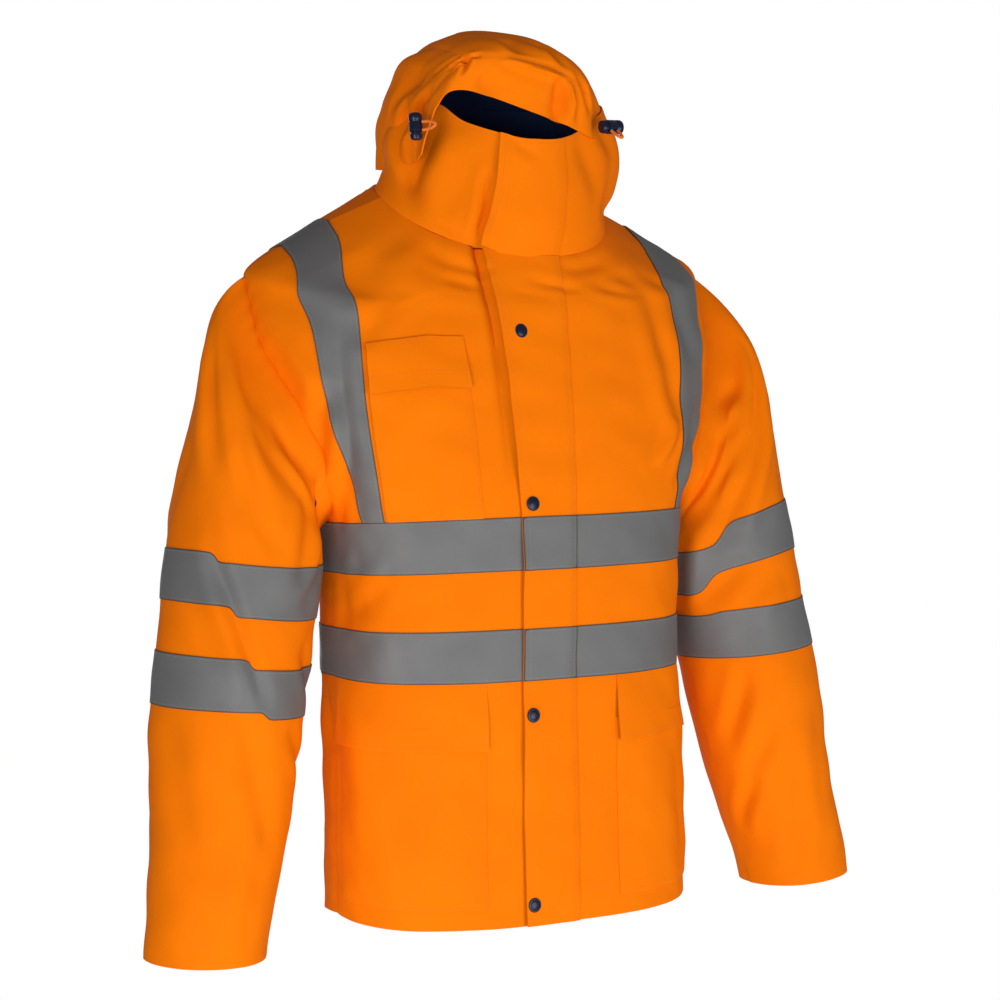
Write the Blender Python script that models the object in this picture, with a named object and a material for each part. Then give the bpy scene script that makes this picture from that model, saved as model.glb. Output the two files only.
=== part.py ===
"""Hi-vis work jacket with hood, filled out as if worn, with nobody in it.

Units are metres, +Z is up, the jacket faces -Y and the wearer's right arm is at -X.
The origin is the middle of the neck seam, where the wearer's neck and shoulders hold it.

Every cloth piece is a wall through points of one of four surfaces: the torso rings, the
sleeve rings, the collar rings and the hood hoops. Whatever lies on a panel, such as a
tape, a pocket or the storm flap, uses that panel's own points, moved out.
"""
import math

import bmesh
import bpy
import numpy as np
from mathutils import Vector

MM = 0.001

# ---- driving dimensions -------------------------------------------------------------
CLOTH = 2.0 * MM            # shell, wadding and lining together
SEAM_HALF = 0.15 * MM       # each piece stops this far from its seam line
LAY_GAP = 0.3 * MM          # between a piece and what is laid on it
TAPE = 0.8 * MM             # retroreflective tape
SNAP_RADIUS = 7.2 * MM
SNAP_HEIGHT = 2.6 * MM
SNAP_CLEARANCE = 0.7 * MM   # a flat snap on a curved flap
LOCK_LENGTH = 27 * MM
LOCK_RADIUS = 7.2 * MM
CORD_DIAMETER = 3 * MM
LOOP_HALF_WIDTH = 4 * MM    # the drawcord's loop out of a lock
LOOP_REACH = 14 * MM
CORNER_NIP = 0.8 * MM       # clearance of the panel corners that meet at the shoulder tip
FLAP_LIFT = 1.2 * MM        # room under the storm flap for the tape and the zip
FLAP_TOP = LAY_GAP + FLAP_LIFT + CLOTH
POCKET_FLAP_TIP = 5.0 * MM  # how far a pocket flap's free edge stands off its panel
POCKET_FLAP_FOLD = 2.6 * MM
CHEST_FLAP_TIP = 4.2 * MM

HEM = -0.697                # heights of the hem, tapes and pockets on the side seam
POCKET_FOOT = -0.678
POCKET_MOUTH = -0.505
FLAP_TIP = -0.527
LOW_TAPE = (-0.4635, -0.4145)
HIGH_TAPE = (-0.361, -0.311)
ARMPIT = HIGH_TAPE[1]
SHOULDER_TIP = -0.068
NECK = 0.015

LOWER_ROWS = (HEM, POCKET_FOOT, -0.622, -0.570, FLAP_TIP, POCKET_MOUTH, LOW_TAPE[0], LOW_TAPE[1],
              -0.388, HIGH_TAPE[0], HIGH_TAPE[1])
UPPER_ROWS = (0.15, 0.29, 0.43, 0.63, 0.76, 0.87, 0.94, 0.98, 1.0)    # share of the way to the top

# ---- torso: one row per ring, named by its height at the side ------------------------
TORSO_COLUMNS = ("level", "half_width", "side_y", "front_y", "back_y", "front_rise", "back_rise",
                 "left_rise", "square")
TORSO = (
    (-0.697, 0.198, -0.035, -0.128, 0.075, -0.012, -0.004, -0.004, 2.6),
    (-0.600, 0.196, -0.026, -0.124, 0.078, -0.010, -0.002, 0.000, 2.6),
    (-0.467, 0.194, -0.018, -0.121, 0.084, -0.006, 0.000, 0.002, 2.7),
    (-0.390, 0.194, -0.017, -0.120, 0.090, -0.003, 0.000, 0.006, 2.8),
    (-0.311, 0.199, -0.014, -0.119, 0.096, 0.000, 0.000, 0.011, 2.9),
    (-0.268, 0.222, -0.008, -0.117, 0.102, -0.001, 0.001, 0.009, 2.7),
    (-0.200, 0.246, 0.005, -0.112, 0.108, -0.006, 0.004, 0.006, 2.4),
    (-0.120, 0.267, 0.020, -0.105, 0.110, -0.024, 0.014, 0.009, 2.1),
    (SHOULDER_TIP, 0.264, 0.034, -0.099, 0.108, -0.038, 0.022, 0.013, 2.0),
    (-0.022, 0.200, 0.029, -0.092, 0.100, -0.056, 0.024, 0.009, 2.0),
    (NECK, 0.128, 0.005, -0.085, 0.085, -0.061, 0.037, 0.000, 2.0),
)

# ---- armhole: how far it bites into the front and the back, as shares of the depth ----
ARMHOLE_COLUMNS = ("level", "front_bite", "back_bite")
ARMHOLE = (
    (ARMPIT, 0.00, 0.00),
    (-0.285, 0.33, 0.25),
    (-0.250, 0.42, 0.32),
    (-0.200, 0.37, 0.28),
    (-0.160, 0.24, 0.19),
    (-0.120, 0.12, 0.11),
    (-0.090, 0.07, 0.07),
    (SHOULDER_TIP, 0.00, 0.00),
)

# ---- panel lines: share of the half width below the armpit, then where the line ends --
# A line with neck_angle ends on the neck seam; one with ridge_x ends on the shoulder seam.
LINE_COLUMNS = ("name", "share", "neck_angle", "ridge_x", "bow", "cells")
RIGHT_LINES = (
    ("centre", 0.000, 0.0, None, 0.000, 0),
    ("flap_edge", 0.185, 27.0, None, 0.000, 1),
    ("pocket_edge", 0.390, 50.0, None, 0.000, 1),
    ("neck_point", 0.620, 90.0, None, 0.000, 2),
    ("brace_inner", 0.860, None, 0.178, 0.014, 2),
    ("brace_outer", 0.940, None, 0.226, 0.016, 2),
    ("side", 1.000, None, 0.264, 0.000, 2),
)
LEFT_LINES = (
    ("centre", 0.000, 0.0, None, 0.000, 0),
    ("flap_edge", 0.134, 12.0, None, 0.000, 1),
    ("pocket_edge", 0.390, 40.0, None, 0.000, 1),
    ("neck_point", 0.620, 90.0, None, 0.000, 2),
    ("brace_inner", 0.825, None, 0.178, 0.008, 2),
    ("brace_outer", 0.950, None, 0.226, 0.014, 2),
    ("side", 1.000, None, 0.264, 0.000, 2),
)
BACK_LINES = (
    ("centre", 0.000, 0.0, None, 0.000, 0),
    ("neck_point", 0.560, 90.0, None, 0.000, 4),
    ("brace_inner", 0.800, None, 0.178, 0.004, 2),
    ("brace_outer", 0.945, None, 0.226, 0.006, 2),
    ("side", 1.000, None, 0.264, 0.000, 2),
)

# ---- arms: one row per ring of the arm's axis, the same on both sides -----------------
ARM_COLUMNS = ("z", "x", "y", "radius_x", "radius_y")
ARM = (
    (-0.725, 0.349, -0.062, 0.057, 0.058),
    (-0.690, 0.3438, -0.0574, 0.059, 0.060),
    (-0.600, 0.326, -0.0415, 0.066, 0.067),
    (-0.500, 0.312, -0.028, 0.073, 0.073),
    (-0.420, 0.298, -0.0165, 0.0745, 0.075),
    (-0.340, 0.2835, -0.007, 0.0765, 0.077),
    (-0.270, 0.270, 0.000, 0.0765, 0.078),
)
CAP_ROWS = (0.0, 0.12, 0.28, 0.50, 0.75)
CAP_FORWARD = 0.018                 # how far the cap leans forward, and how far it is drawn in
CAP_INWARD = 0.007
SLEEVE_COLUMNS = ("z", "rise_outwards")
SLEEVE_ROWS = {                     # the first four rows are the edges of the two tapes
    "right": ((-0.342, 0.12), (-0.391, 0.12), (-0.437, 0.09), (-0.485, 0.06), (-0.545, 0.05),
              (-0.605, 0.04), (-0.665, 0.03), (-0.717, 0.02)),
    "left": ((-0.324, 0.26), (-0.372, 0.25), (-0.410, 0.12), (-0.459, 0.10), (-0.525, 0.12),
             (-0.590, 0.12), (-0.650, 0.11), (-0.706, 0.10)),
}

# ---- collar: one row per ring, from the neck seam to the top edge ---------------------
COLLAR_COLUMNS = ("up", "half_width", "x", "front_y", "back_y", "front_z", "side_z", "back_z",
                  "left_rise", "dip")
COLLAR = (
    (0.00, 0.128, 0.000, -0.085, 0.085, -0.046, NECK, 0.052, 0.000, 1.0),
    (0.35, 0.117, 0.004, -0.096, 0.086, -0.006, 0.043, 0.077, 0.002, 1.2),
    (0.70, 0.109, 0.004, -0.100, 0.084, 0.033, 0.076, 0.098, 0.007, 1.6),
    (1.00, 0.100, 0.002, -0.101, 0.080, 0.062, 0.104, 0.114, 0.014, 1.9),
)
COLLAR_ROWS = (0.0, 0.2, 0.45, 0.72, 1.0)
COLLAR_MIDDLE_Y = 0.005

# ---- hood: one row per hoop, from the face edge over the crown to the nape ------------
HOOD_COLUMNS = ("back", "half_span", "x", "end_y", "end_z", "top_y", "top_z", "square_right",
                "square_left", "lean", "left_back")
HOOD = (
    (0.00, 0.116, -0.001, -0.054, 0.052, -0.098, 0.093, 6.0, 2.5, -0.25, 0.014),
    (0.14, 0.118, 0.001, -0.034, 0.048, -0.108, 0.140, 3.6, 2.0, -0.15, 0.008),
    (0.35, 0.122, 0.004, 0.000, 0.046, -0.072, 0.172, 3.0, 2.1, -0.06, 0.000),
    (0.55, 0.121, 0.004, 0.032, 0.046, -0.010, 0.186, 2.8, 2.2, -0.03, 0.000),
    (0.78, 0.109, 0.003, 0.064, 0.050, 0.076, 0.152, 2.6, 2.2, 0.00, 0.000),
    (1.00, 0.084, 0.000, 0.078, 0.054, 0.0935, 0.060, 2.3, 2.1, 0.00, 0.000),
)
BRIM_DEPTH = 0.14
CROWN_HALF = 38.0

# ---- largest folds: soft troughs (minus) and ridges (plus), by place on their surface --
FOLD_COLUMNS = ("across", "along", "slope", "half_length", "half_width", "depth")
TORSO_FOLDS = (                     # across in degrees from centre front, along in metres
    (-62.0, -0.265, 160.0, 0.060, 0.016, -0.006),
    (-40.0, -0.235, 190.0, 0.070, 0.020, 0.003),
    (62.0, -0.262, -160.0, 0.060, 0.016, -0.006),
    (42.0, -0.225, -200.0, 0.070, 0.020, 0.003),
    (-84.0, -0.385, 0.0, 0.050, 0.014, -0.004),
    (150.0, -0.250, -150.0, 0.080, 0.020, -0.005),
    (-150.0, -0.262, 150.0, 0.075, 0.020, -0.005),
)

# ---- what fastens the jacket ----------------------------------------------------------
SNAPS = (("snap_1", -0.098, -0.029),        # name, level and x, down the middle of the flap
         ("snap_2", -0.298, -0.025),
         ("snap_3", -0.496, -0.026),
         ("snap_4", -0.677, -0.028))
# place on the hood, the way the lock lies and the way its loop of cord leaves it
LOCK_COLUMNS = ("name", "back", "turn", "stand_off", "axis", "loop")
LOCKS = (("cord_lock_right", 0.01, -84.5, 0.0095, (-0.06, 0.02, 1.0), (0.55, -0.80, 0.10)),
         ("cord_lock_left", 0.04, 36.0, 0.0150, (0.85, 0.05, 0.05), (-0.35, -0.75, -0.55)))

ORANGE = (0.91, 0.21, 0.004)
GREY = (0.20, 0.20, 0.20)
NAVY = (0.006, 0.012, 0.045)


# ======================================================================================
# numbers read from the tables
# ======================================================================================
def column(table, names, name):
    place = names.index(name)
    return np.array([row[place] for row in table], dtype=float)


def smooth(stops, values, at):
    """Monotone cubic through the values, so that a table never overshoots."""
    at = np.clip(np.asarray(at, dtype=float), stops[0], stops[-1])
    step = np.diff(stops)
    slope = np.diff(values) / step
    tangent = np.concatenate((slope[:1], np.zeros(len(slope) - 1), slope[-1:]))
    for place in range(1, len(slope)):
        before, after = slope[place - 1], slope[place]
        if before * after > 0:
            near = 2 * step[place] + step[place - 1]
            far = step[place] + 2 * step[place - 1]
            tangent[place] = (near + far) / (near / before + far / after)
    span = np.clip(np.searchsorted(stops, at, side="right") - 1, 0, len(step) - 1)
    part = (at - stops[span]) / step[span]
    rest = 1 - part
    return (values[span] * (1 + 2 * part) * rest ** 2
            + tangent[span] * step[span] * part * rest ** 2
            + values[span + 1] * part ** 2 * (3 - 2 * part)
            - tangent[span + 1] * step[span] * part ** 2 * rest)


def reader(table, names, key):
    """A function that reads any column of a table at given values of its key column."""
    stops = column(table, names, key)
    return lambda name, at: smooth(stops, column(table, names, name), at)


torso_at = reader(TORSO, TORSO_COLUMNS, "level")
armhole_at = reader(ARMHOLE, ARMHOLE_COLUMNS, "level")
arm_at = reader(ARM, ARM_COLUMNS, "z")
collar_at = reader(COLLAR, COLLAR_COLUMNS, "up")
hood_at = reader(HOOD, HOOD_COLUMNS, "back")


def points(x, y, z):
    return np.stack(np.broadcast_arrays(x, y, z), axis=-1)


def normals(surface, first, second, step_first, step_second):
    """Unit normals of a surface, by central differences."""
    along_first = surface(first + step_first, second) - surface(first - step_first, second)
    along_second = surface(first, second + step_second) - surface(first, second - step_second)
    across = np.cross(along_first, along_second)
    return across / np.linalg.norm(across, axis=-1, keepdims=True)


# ======================================================================================
# the four surfaces
# ======================================================================================
def bare_torso(angle, level):
    """Point at an angle from centre front (+ to the wearer's left) on the ring of a level."""
    turn = np.radians(angle)
    power = 2 / torso_at("square", level)
    sine, cosine = np.sin(turn), np.cos(turn)
    across = np.sign(sine) * np.abs(sine) ** power
    forth = np.abs(cosine) ** power
    front = cosine >= 0
    side_y = torso_at("side_y", level)
    end_y = np.where(front, torso_at("front_y", level), torso_at("back_y", level))
    rise = np.where(front, torso_at("front_rise", level), torso_at("back_rise", level))
    x = torso_at("half_width", level) * across
    y = side_y + (end_y - side_y) * forth
    z = level + rise * forth + torso_at("left_rise", level) * (1 + sine) / 2
    return points(x, y, z)


def torso_normals(angle, level):
    return normals(bare_torso, angle, level, 0.4, 0.0015)


def fold_height(folds, across, along, degree):
    """Height of all folds at a place; degree turns the across unit into metres."""
    height = np.zeros(np.broadcast(across, along).shape)
    for row in folds:
        fold = dict(zip(FOLD_COLUMNS, row))
        up = along - fold["along"]
        aside = (across - fold["across"] - fold["slope"] * up) * degree
        run = np.clip(1 - (up / fold["half_length"]) ** 2, 0, 1)
        height = height + fold["depth"] * run ** 2 * np.exp(-(aside / fold["half_width"]) ** 2)
    return height


def torso(angle, level):
    height = fold_height(TORSO_FOLDS, angle, level, degree=0.0028)
    return bare_torso(angle, level) + torso_normals(angle, level) * height[..., None]


def armhole_angle(level, back):
    bite = np.clip(armhole_at("back_bite" if back else "front_bite", level), 0, 1)
    turn = np.degrees(np.arccos(bite ** (torso_at("square", level) / 2)))
    return 180 - turn if back else turn


def armhole_places(share, back):
    """Angle and level on the armhole, a share of the way from the armpit to the tip."""
    level = ARMPIT + (SHOULDER_TIP - ARMPIT) * share
    return armhole_angle(level, back), level


def arm_ring(turn, z, rise_outwards, side):
    """Ring of the sleeve: turn 0 is outside, 90 in front, 180 inside."""
    turn = np.radians(turn)
    out = np.cos(turn) * arm_at("radius_x", z)
    fore = np.sin(turn) * arm_at("radius_y", z)
    return points(side * (arm_at("x", z) + out), arm_at("y", z) - fore, z + rise_outwards * out)


def sleeve(around, down, side):
    """around 0..1 runs up the front of the armhole and 1..2 down its back; down 0..1 is
    the cap and each further 1 is the next row of the table."""
    rows = SLEEVE_ROWS["left" if side > 0 else "right"]
    back = around > 1
    share = np.clip(np.where(back, 2 - around, around), 0, 1)
    angle = np.where(back, armhole_places(share, True)[0], armhole_places(share, False)[0])
    start = torso(side * angle, armhole_places(share, False)[1])
    turn = 180 * np.sqrt(1 - share) * np.where(back, -1, 1)
    place = np.maximum(down - 1, 0)
    stops = np.arange(len(rows), dtype=float)
    z = smooth(stops, column(rows, SLEEVE_COLUMNS, "z"), place)
    rise = smooth(stops, column(rows, SLEEVE_COLUMNS, "rise_outwards"), place)
    ring = arm_ring(turn, z, rise, side)
    reach = np.linalg.norm(ring - start, axis=-1)[..., None]
    leave = points(side * 0.95, -0.25 * np.sin(np.radians(turn)), -0.55) * reach
    arrive = points(side * 0.16, -0.10, -0.98) * reach
    part = np.clip(down, 0, 1)[..., None]
    rest = 1 - part
    swell = (4 * part * rest) ** 2
    outside = (1 + np.cos(np.radians(turn)))[..., None] / 2
    lean = np.array((-side * CAP_INWARD, -CAP_FORWARD, 0.0)) * outside
    cap = (start * (1 + 2 * part) * rest ** 2 + leave * part * rest ** 2
           + ring * part ** 2 * (3 - 2 * part) - arrive * part ** 2 * rest + lean * swell)
    return np.where(down[..., None] < 1, cap, ring)


def collar(angle, up):
    turn = np.radians(angle)
    forth = np.abs(np.cos(turn))
    front = np.cos(turn) >= 0
    end_y = np.where(front, collar_at("front_y", up), collar_at("back_y", up))
    end_z = np.where(front, collar_at("front_z", up), collar_at("back_z", up))
    x = collar_at("x", up) + collar_at("half_width", up) * np.sin(turn)
    y = COLLAR_MIDDLE_Y + (end_y - COLLAR_MIDDLE_Y) * forth
    dip = forth ** collar_at("dip", up)
    z = collar_at("side_z", up) + (end_z - collar_at("side_z", up)) * dip
    return points(x, y, z + collar_at("left_rise", up) * (1 + np.sin(turn)) / 2)


def hood(back, turn):
    """back 0 is the face edge and 1 the nape; turn -90 is the wearer's right end."""
    angle = np.radians(turn)
    power = 2 / np.where(angle < 0, hood_at("square_right", back), hood_at("square_left", back))
    across = np.sign(np.sin(angle)) * np.abs(np.sin(angle)) ** power
    forth = np.abs(np.cos(angle)) ** power
    x = hood_at("half_span", back) * across + hood_at("x", back) * (1 - forth)
    end_y = hood_at("end_y", back) + np.where(angle > 0, hood_at("left_back", back), 0.0)
    y = end_y + (hood_at("top_y", back) - end_y) * forth ** 1.5
    z = hood_at("end_z", back) + (hood_at("top_z", back) - hood_at("end_z", back)) * forth
    return points(x, y, z + hood_at("lean", back) * x * forth ** 2)


# ======================================================================================
# panel grids: rows of the torso by columns of its lines
# ======================================================================================
def ridge_level(x):
    """Level at which the shoulder seam is x away from the centre."""
    level = np.linspace(SHOULDER_TIP, NECK, 200)
    return np.interp(-x, -torso_at("half_width", level), level)


def neck_x(angle):
    """How far from the centre a line ends on the neck seam."""
    return float(torso_at("half_width", NECK)) * math.sin(math.radians(angle))


def line_places(line, back):
    """Angles and levels of one panel line, from the hem to the neck or shoulder seam."""
    lower = np.array(LOWER_ROWS)
    share = line["share"]
    low_angle = np.degrees(np.arcsin(share ** (torso_at("square", lower) / 2)))
    if line["name"] == "side":
        high_angle, high = armhole_places(np.array(UPPER_ROWS), False)
    else:
        top = NECK if line["ridge_x"] is None else ridge_level(line["ridge_x"])
        end_x = line["ridge_x"] or neck_x(line["neck_angle"])
        start_x = share * float(torso_at("half_width", ARMPIT))
        rise = np.array(UPPER_ROWS)
        high = ARMPIT + (top - ARMPIT) * rise
        x = start_x + (end_x - start_x) * rise + line["bow"] * 4 * rise * (1 - rise)
        part = np.clip(x / torso_at("half_width", high), 0, 1)
        high_angle = np.degrees(np.arcsin(part ** (torso_at("square", high) / 2)))
    if back:
        low_angle = 180 - low_angle
        if line["name"] == "side":
            high_angle = armhole_places(np.array(UPPER_ROWS), True)[0]
        else:
            high_angle = 180 - high_angle
    return np.concatenate((low_angle, high_angle)), np.concatenate((lower, high))


def half_panel(lines, back=False):
    """Angles and levels [row, column] of a half panel, and the column of each line."""
    angles, levels, places = [], [], {}
    previous = None
    for row in lines:
        line = dict(zip(LINE_COLUMNS, row))
        current = line_places(line, back)
        for cell in range(1, line["cells"] + 1):
            part = cell / line["cells"]
            angles.append(previous[0] + (current[0] - previous[0]) * part)
            levels.append(previous[1] + (current[1] - previous[1]) * part)
        if previous is None:
            angles.append(current[0])
            levels.append(current[1])
        places[line["name"]] = len(angles) - 1
        previous = current
    return np.stack(angles, axis=1), np.stack(levels, axis=1), places


class Sheet:
    """A grid of surface points with their outward normals."""

    def __init__(self, spots, outward):
        self.spots = spots
        self.outward = outward

    def block(self, rows, columns):
        return Sheet(self.spots[rows, columns], self.outward[rows, columns])

    def drawn_in(self, first_row=0, last_row=0, first_column=0, last_column=0):
        """The same sheet with its edges moved in along the cloth by these widths."""
        spots = self.spots.copy()
        for width, edge, inner in ((first_row, 0, 1), (last_row, -1, -2)):
            spots[edge] += inwards(self.spots[edge], self.spots[inner], self.outward[edge]) * width
        for width, edge, inner in ((first_column, 0, 1), (last_column, -1, -2)):
            spots[:, edge] += inwards(self.spots[:, edge], self.spots[:, inner],
                                      self.outward[:, edge]) * width
        return Sheet(spots, self.outward)

    def nipped(self, row, column, inner_row, inner_column):
        """The same sheet with one corner drawn back towards the point diagonally inside it."""
        spots = self.spots.copy()
        diagonal = self.spots[inner_row, inner_column] - self.spots[row, column]
        spots[row, column] += unit(diagonal) * CORNER_NIP
        return Sheet(spots, self.outward)


def inwards(edge, inner, outward):
    """Directions in the cloth, square to its edge, towards the next line of points."""
    along = np.gradient(edge, axis=0)
    across = unit(np.cross(outward, along))
    return across * np.sign(np.sum(across * (inner - edge)))


def unit(vectors):
    return vectors / np.linalg.norm(vectors, axis=-1, keepdims=True)


def torso_sheet(angles, levels, side):
    """Rows run up; columns must run towards the wearer's left for outward normals."""
    outward = torso_normals(side * angles, levels)
    return Sheet(torso(side * angles, levels), outward)


# ======================================================================================
# solids from sheets
# ======================================================================================
def material(name, colour, roughness, metallic=0.0):
    made = bpy.data.materials.get(name)
    if made is None:
        made = bpy.data.materials.new(name)
        made.use_nodes = True
        shader = made.node_tree.nodes["Principled BSDF"]
        shader.inputs["Base Color"].default_value = (*colour, 1.0)
        shader.inputs["Roughness"].default_value = roughness
        shader.inputs["Metallic"].default_value = metallic
    return made


def orange_cloth():
    return material("orange_cloth", ORANGE, 0.72)


def grey_tape():
    return material("grey_tape", GREY, 0.48, 0.15)


def navy_lining():
    return material("navy_lining", NAVY, 0.85)


def navy_plastic():
    return material("navy_plastic", NAVY, 0.38)


def orange_cord():
    return material("orange_cord", ORANGE, 0.8)


def put(name, mesh, finish):
    mesh.materials.append(finish)
    made = bpy.data.objects.new(name, mesh)
    bpy.context.scene.collection.objects.link(made)
    return made


def cloth_piece(name, sheet, low, high, finish, closed=False):
    """A closed wall between two offsets from a sheet; closed joins its first and last column.

    low and high are distances along the outward normals, one number or one per row."""
    rows, columns = sheet.spots.shape[:2]
    heights = [np.broadcast_to(np.asarray(value, dtype=float), (rows,)) for value in (high, low)]
    bm = bmesh.new()
    layers = []
    for height in heights:
        spots = sheet.spots + sheet.outward * height[:, None, None]
        layers.append([[bm.verts.new(Vector(spot)) for spot in line] for line in spots])
    top, bottom = layers
    spans = columns if closed else columns - 1
    for row in range(rows - 1):
        for place in range(spans):
            after = (place + 1) % columns
            bm.faces.new((top[row][place], top[row][after], top[row + 1][after], top[row + 1][place]))
            bm.faces.new((bottom[row][place], bottom[row + 1][place], bottom[row + 1][after],
                          bottom[row][after]))
    rims = [[(row, place) for place in range(columns)] for row in (0, rows - 1)]
    for rim, forwards in zip(rims, (False, True)):
        for place in range(spans):
            wall(bm, top, bottom, rim[place], rim[(place + 1) % columns], forwards)
    if not closed:
        for place, forwards in ((0, True), (columns - 1, False)):
            for row in range(rows - 1):
                wall(bm, top, bottom, (row, place), (row + 1, place), forwards)
    bmesh.ops.triangulate(bm, faces=bm.faces, quad_method="SHORT_EDGE")
    bmesh.ops.recalc_face_normals(bm, faces=bm.faces)
    mesh = bpy.data.meshes.new(name)
    bm.to_mesh(mesh)
    bm.free()
    mesh.shade_smooth()
    mesh.set_sharp_from_angle(angle=math.radians(40))
    return put(name, mesh, finish)


def wall(bm, top, bottom, start, end, forwards):
    """One face of the rim between the outer and inner points of a wall."""
    corners = [top[start[0]][start[1]], top[end[0]][end[1]],
               bottom[end[0]][end[1]], bottom[start[0]][start[1]]]
    bm.faces.new(corners if forwards else corners[::-1])


def laid_on(sheet, name, finish, layer=0.0, thickness=TAPE, edges=SEAM_HALF):
    """A piece laid on a sheet's own points, its edges drawn in a little."""
    base = LAY_GAP + layer
    drawn = sheet.drawn_in(edges, edges, edges, edges)
    return cloth_piece(name, drawn, base, base + thickness, finish)


# ======================================================================================
# pieces
# ======================================================================================
ROW_OF = {level: place for place, level in enumerate(LOWER_ROWS)}
ARMPIT_ROW = ROW_OF[ARMPIT]
TOP_ROW = len(LOWER_ROWS) + len(UPPER_ROWS) - 1


def front_sheets():
    """The two half fronts, columns running from the wearer's right to the left."""
    sheets = {}
    for name, lines, side in (("right", RIGHT_LINES, -1), ("left", LEFT_LINES, 1)):
        angles, levels, places = half_panel(lines)
        if side < 0:
            angles, levels = angles[:, ::-1], levels[:, ::-1]
            places = {line: angles.shape[1] - 1 - place for line, place in places.items()}
        sheets[name] = (torso_sheet(angles, levels, side), places, angles)
    return sheets


def back_sheet():
    """The whole back in one piece, columns running from the left side to the right side."""
    angles, levels, places = half_panel(BACK_LINES, back=True)
    left = angles[:, ::-1], levels[:, ::-1]
    right = -angles[:, 1:], levels[:, 1:]
    turn = np.concatenate((left[0], right[0]), axis=1)
    level = np.concatenate((left[1], right[1]), axis=1)
    centre = angles.shape[1] - 1
    return torso_sheet(turn, level, 1), places, centre, turn


def sleeve_grid(side):
    """Columns follow the rows of the armhole, so that the seam's points are shared."""
    climb = np.concatenate(([0.0], UPPER_ROWS))
    around = np.concatenate((climb, 2 - climb[-2:0:-1]))
    down = np.concatenate((CAP_ROWS, np.arange(1.0, len(SLEEVE_ROWS["left"]) + 1)))
    if side < 0:
        around = around[::-1]
    around_grid, down_grid = np.meshgrid(around, down[::-1])
    return around_grid, down_grid


def sleeve_sheet(side):
    around, down = sleeve_grid(side)

    def surface(turned, lowered):
        return sleeve(turned % 2, np.maximum(lowered, 0), side)

    spots = surface(around, down)
    step = 0.02
    across = surface(around + step, down) - surface(around - step, down)
    along = surface(around, down + step) - surface(around, np.maximum(down - step, 0))
    outward = unit(np.cross(along, across) * side)
    share = np.where(around > 1, 2 - around, around)[-1]
    back = around[-1] > 1
    angle = np.where(back, armhole_places(share, True)[0], armhole_places(share, False)[0])
    seam = torso_normals(side * angle, armhole_places(share, False)[1])
    outward[-1] = unit(outward[-1] + seam)
    return Sheet(spots, outward)


def mitre(sheet, rows, columns, other):
    """Give a stretch of a sheet's edge the normals that both pieces at a seam share."""
    sheet.outward[rows, columns] = other


def collar_normals(angle, up):
    return normals(collar, angle, np.clip(up, 0.01, 0.99), 0.5, 0.01)


def seam_normals(angle):
    """Shared normals of the neck seam, between the torso and the collar."""
    level = np.full_like(angle, NECK - 0.0016)
    return unit(unit(torso_normals(angle, level)) + unit(collar_normals(angle, np.zeros_like(angle))))


def build_body():
    fronts = front_sheets()
    back, back_places, centre, back_turn = back_sheet()
    sleeves = {"right": sleeve_sheet(-1), "left": sleeve_sheet(1)}
    join_normals(fronts, back, back_places, back_turn, sleeves)
    orange = orange_cloth()
    for name, (sheet, places, _) in fronts.items():
        drawn = sheet.drawn_in(0.0, SEAM_HALF, SEAM_HALF, SEAM_HALF)
        drawn = drawn.nipped(-1, 0, -3, 1) if name == "right" else drawn.nipped(-1, -1, -3, -2)
        cloth_piece("front_" + name, drawn, -CLOTH, 0.0, orange)
    drawn = back.drawn_in(0.0, SEAM_HALF, SEAM_HALF, SEAM_HALF)
    drawn = drawn.nipped(-1, 0, -3, 1).nipped(-1, -1, -3, -2)
    cloth_piece("back", drawn, -CLOTH, 0.0, orange)
    for name, sheet in sleeves.items():
        cloth_piece("sleeve_" + name, sheet.drawn_in(0.0, SEAM_HALF), -CLOTH, 0.0, orange, closed=True)
    return fronts, (back, back_places, centre), sleeves


def join_normals(fronts, back, back_places, back_turn, sleeves):
    """Mitre the armhole and neck seams, so that walls that meet at an angle don't cross."""
    upper = slice(ARMPIT_ROW, TOP_ROW + 1)
    count = len(UPPER_ROWS)
    for name, side in (("right", -1), ("left", 1)):
        seam = sleeves[name].outward[-1]
        if side < 0:
            seam = seam[::-1]
        sheet, places, angles = fronts[name]
        mitre(sheet, upper, places["side"], seam[:count + 1])
        behind = np.concatenate((seam[:1], seam[:count - 1:-1]))
        edge = 0 if side > 0 else -1
        mitre(back, upper, edge, behind)
    for name, side in (("right", -1), ("left", 1)):
        sheet, places, angles = fronts[name]
        neck = slice(places["neck_point"], places["centre"] + 1) if side < 0 else slice(
            places["centre"], places["neck_point"] + 1)
        mitre(sheet, TOP_ROW, neck, seam_normals(side * angles[TOP_ROW, neck]))
    half = back.spots.shape[1] // 2
    reach = back_places["neck_point"]
    neck = slice(half - reach, half + reach + 1)
    mitre(back, TOP_ROW, neck, seam_normals(back_turn[TOP_ROW, neck]))


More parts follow.
